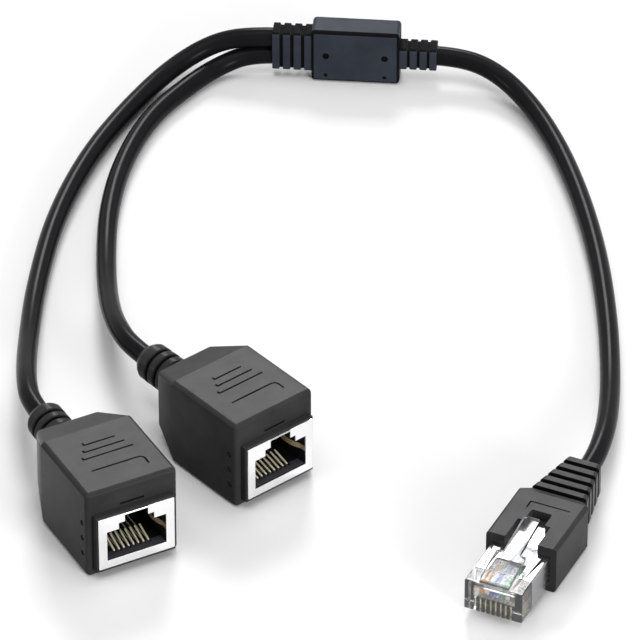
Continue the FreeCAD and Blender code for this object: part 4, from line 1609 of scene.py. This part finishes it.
TRUNK = Cable("trunk_cable", 157.8, (11.67, -11.67, 5.6), [
    (10.25, -10.25, 5.6), (14.85, -14.85, 5.6), (18.1, -22.1, 4.6), (17.8, -32.9, 2.8),
    (13.0, -47.1, 2.0), (4.6, -63.6, 2.0), (-6.6, -81.6, 2.0), (-19.1, -98.4, 2.0),
    (-30.7, -112.2, 2.2), (-40.3, -122.4, 3.6), (-47.4, -128.9, 4.8), (-54.57, -133.97, 5.0),
    (-60.47, -136.72, 5.0)])
LEFT_BRANCH = Cable("left_branch_cable", 159.1, (-12.02, 12.02, 8.2), [
    (-10.61, 10.61, 8.2), (-15.2, 15.2, 8.2), (-20.8, 20.6, 6.2), (-30.5, 22.2, 3.4),
    (-44.8, 18.2, 2.0), (-61.6, 10.3, 2.0), (-80.5, -2.6, 2.0), (-97.6, -18.3, 2.0),
    (-109.4, -31.2, 3.4), (-117.8, -41.1, 6.2), (-124.3, -49.5, 8.7), (-128.0, -55.62, 9.4),
    (-129.35, -61.98, 9.4)])
RIGHT_BRANCH = Cable("right_branch_cable", 133.5, (-12.02, 12.02, 4.1), [
    (-10.61, 10.61, 4.1), (-15.2, 15.2, 4.1), (-22.1, 17.8, 2.3), (-30.7, 16.6, 2.0),
    (-43.7, 12.9, 2.0), (-58.0, 4.0, 2.0), (-70.4, -7.1, 2.0), (-80.2, -18.5, 2.2),
    (-88.8, -29.6, 3.8), (-95.6, -39.5, 6.6), (-99.9, -47.5, 8.7), (-101.97, -54.07, 9.4),
    (-101.97, -60.57, 9.4)])


# ---- studio ----


@dataclass
class Studio:
    """The floor, the soft lamps and the camera."""

    target: Point = (-60.43, -60.51, 0.0)
    azimuth: float = -40.0
    elevation: float = 36.0
    distance: float = 1.5
    lens: float = 432.8
    soft_light: float = 0.35
    floor_white: float = 0.96

    def aim(self, thing: bpy.types.Object, azimuth: float, elevation: float,
            distance: float) -> None:
        """Adds a camera or a lamp to the scene and points it at the target.

        Args:
            thing: The camera or the lamp.
            azimuth: Its angle round the target, in degrees.
            elevation: Its angle above the floor, in degrees.
            distance: Its distance in metres.
        """
        bpy.context.scene.collection.objects.link(thing)
        a, e = math.radians(azimuth), math.radians(elevation)
        back = Vector((math.sin(a) * math.cos(e), -math.cos(a) * math.cos(e), math.sin(e)))
        thing.rotation_mode = "QUATERNION"
        thing.location = Vector(self.target) * MM + back * distance
        thing.rotation_quaternion = (-back).to_track_quat("-Z", "Y")

    def camera(self) -> None:
        """Sets the camera at the photograph's angle."""
        data = bpy.data.cameras.new("camera")
        data.lens = self.lens
        data.sensor_width = 36.0
        data.clip_start, data.clip_end = 0.05, 20
        thing = bpy.data.objects.new("camera", data)
        self.aim(thing, self.azimuth, self.elevation, self.distance)
        bpy.context.scene.camera = thing

    def lamp(self, name: str, azimuth: float, elevation: float, distance: float, size: float,
             power: float) -> None:
        """Adds a square soft lamp that faces the target.

        Args:
            name: Its name.
            azimuth: Its angle round the target, measured as the camera's.
            elevation: Its angle above the floor, in degrees.
            distance: Its distance in metres.
            size: Its side in metres.
            power: Its power in watts.
        """
        data = bpy.data.lights.new(name, "AREA")
        data.shape = "SQUARE"
        data.size = size
        data.energy = power
        self.aim(bpy.data.objects.new(name, data), azimuth, elevation, distance)

    def background_ray(self, tree: Any) -> Socket:
        """Tells rays that show the background: from the camera, off gloss and through glass.

        Args:
            tree: The nodes and links of a material or the world.

        Returns:
            A value that is 1 for such a ray, and otherwise 0.
        """
        nodes, links = tree.nodes, tree.links
        path = nodes.new("ShaderNodeLightPath")
        result = path.outputs["Is Camera Ray"]
        for name in ("Is Glossy Ray", "Is Transmission Ray"):
            either = nodes.new("ShaderNodeMath")
            either.operation = "MAXIMUM"
            links.new(result, either.inputs[0])
            links.new(path.outputs[name], either.inputs[1])
            result = either.outputs["Value"]
        return result

    def floor(self) -> None:
        """Adds a white floor that keeps the object's shadow."""
        clear_selection()
        bpy.ops.mesh.primitive_plane_add(size=8, location=(0, 0, -0.00005))
        thing = bpy.context.object
        thing.name = "floor"
        material = bpy.data.materials.new("white_floor")
        material.use_nodes = True
        tree = Tree(material)
        tree.paint(self.background_ray(tree), (0.0, (self.soft_light,) * 3),
                   (1.0, (self.floor_white,) * 3))
        tree.gloss(tree.noise(6, 2), 0.88, 0.92)
        tree.fix(Specular_IOR_Level=0.0)
        thing.data.materials.append(material)

    def world(self) -> None:
        """Surrounds the scene with white, plain for the camera and softer for the object."""
        world = bpy.data.worlds.new("studio")
        bpy.context.scene.world = world
        world.use_nodes = True
        tree = world.node_tree
        background = tree.nodes["Background"]
        span = tree.nodes.new("ShaderNodeMapRange")
        span.inputs["To Min"].default_value = self.soft_light
        span.inputs["To Max"].default_value = 1.0
        tree.links.new(self.background_ray(tree), span.inputs["Value"])
        tree.links.new(span.outputs["Result"], background.inputs["Strength"])
        background.inputs["Color"].default_value = (1, 1, 1, 1)

    def build(self) -> None:
        """Makes the studio."""
        bpy.context.scene.view_settings.view_transform = "Standard"
        self.world()
        self.floor()
        self.lamp("back_panel", 140, 37, 3.0, 0.8, 42)
        self.lamp("overhead_panel", 0, 88, 1.2, 1.0, 6.2)
        self.lamp("front_panel", -2, 15, 1.5, 0.5, 13)
        self.lamp("rim_panel", -124, 14, 1.5, 0.35, 3)
        self.camera()


def main() -> None:
    """Builds the lead and its studio; the imported meshes stay in the scene, hidden."""
    logging.basicConfig(level=logging.INFO, format="%(message)s")
    Studio().build()
    for cable in (TRUNK, LEFT_BRANCH, RIGHT_BRANCH):
        cable.build()
    Junction(0.0, 0.0, -45.0).build()
    right = Jack(-101.97, -96.67, 0.0, "right")
    left = Jack(-136.86, -97.29, -12.0, "left")
    models = JackModels.model(right)
    for jack in (right, left):
        jack.build(models)
    models.discard()
    Plug(-96.99, -153.75, -65.0).build()


if __name__ == "__main__":
    main()
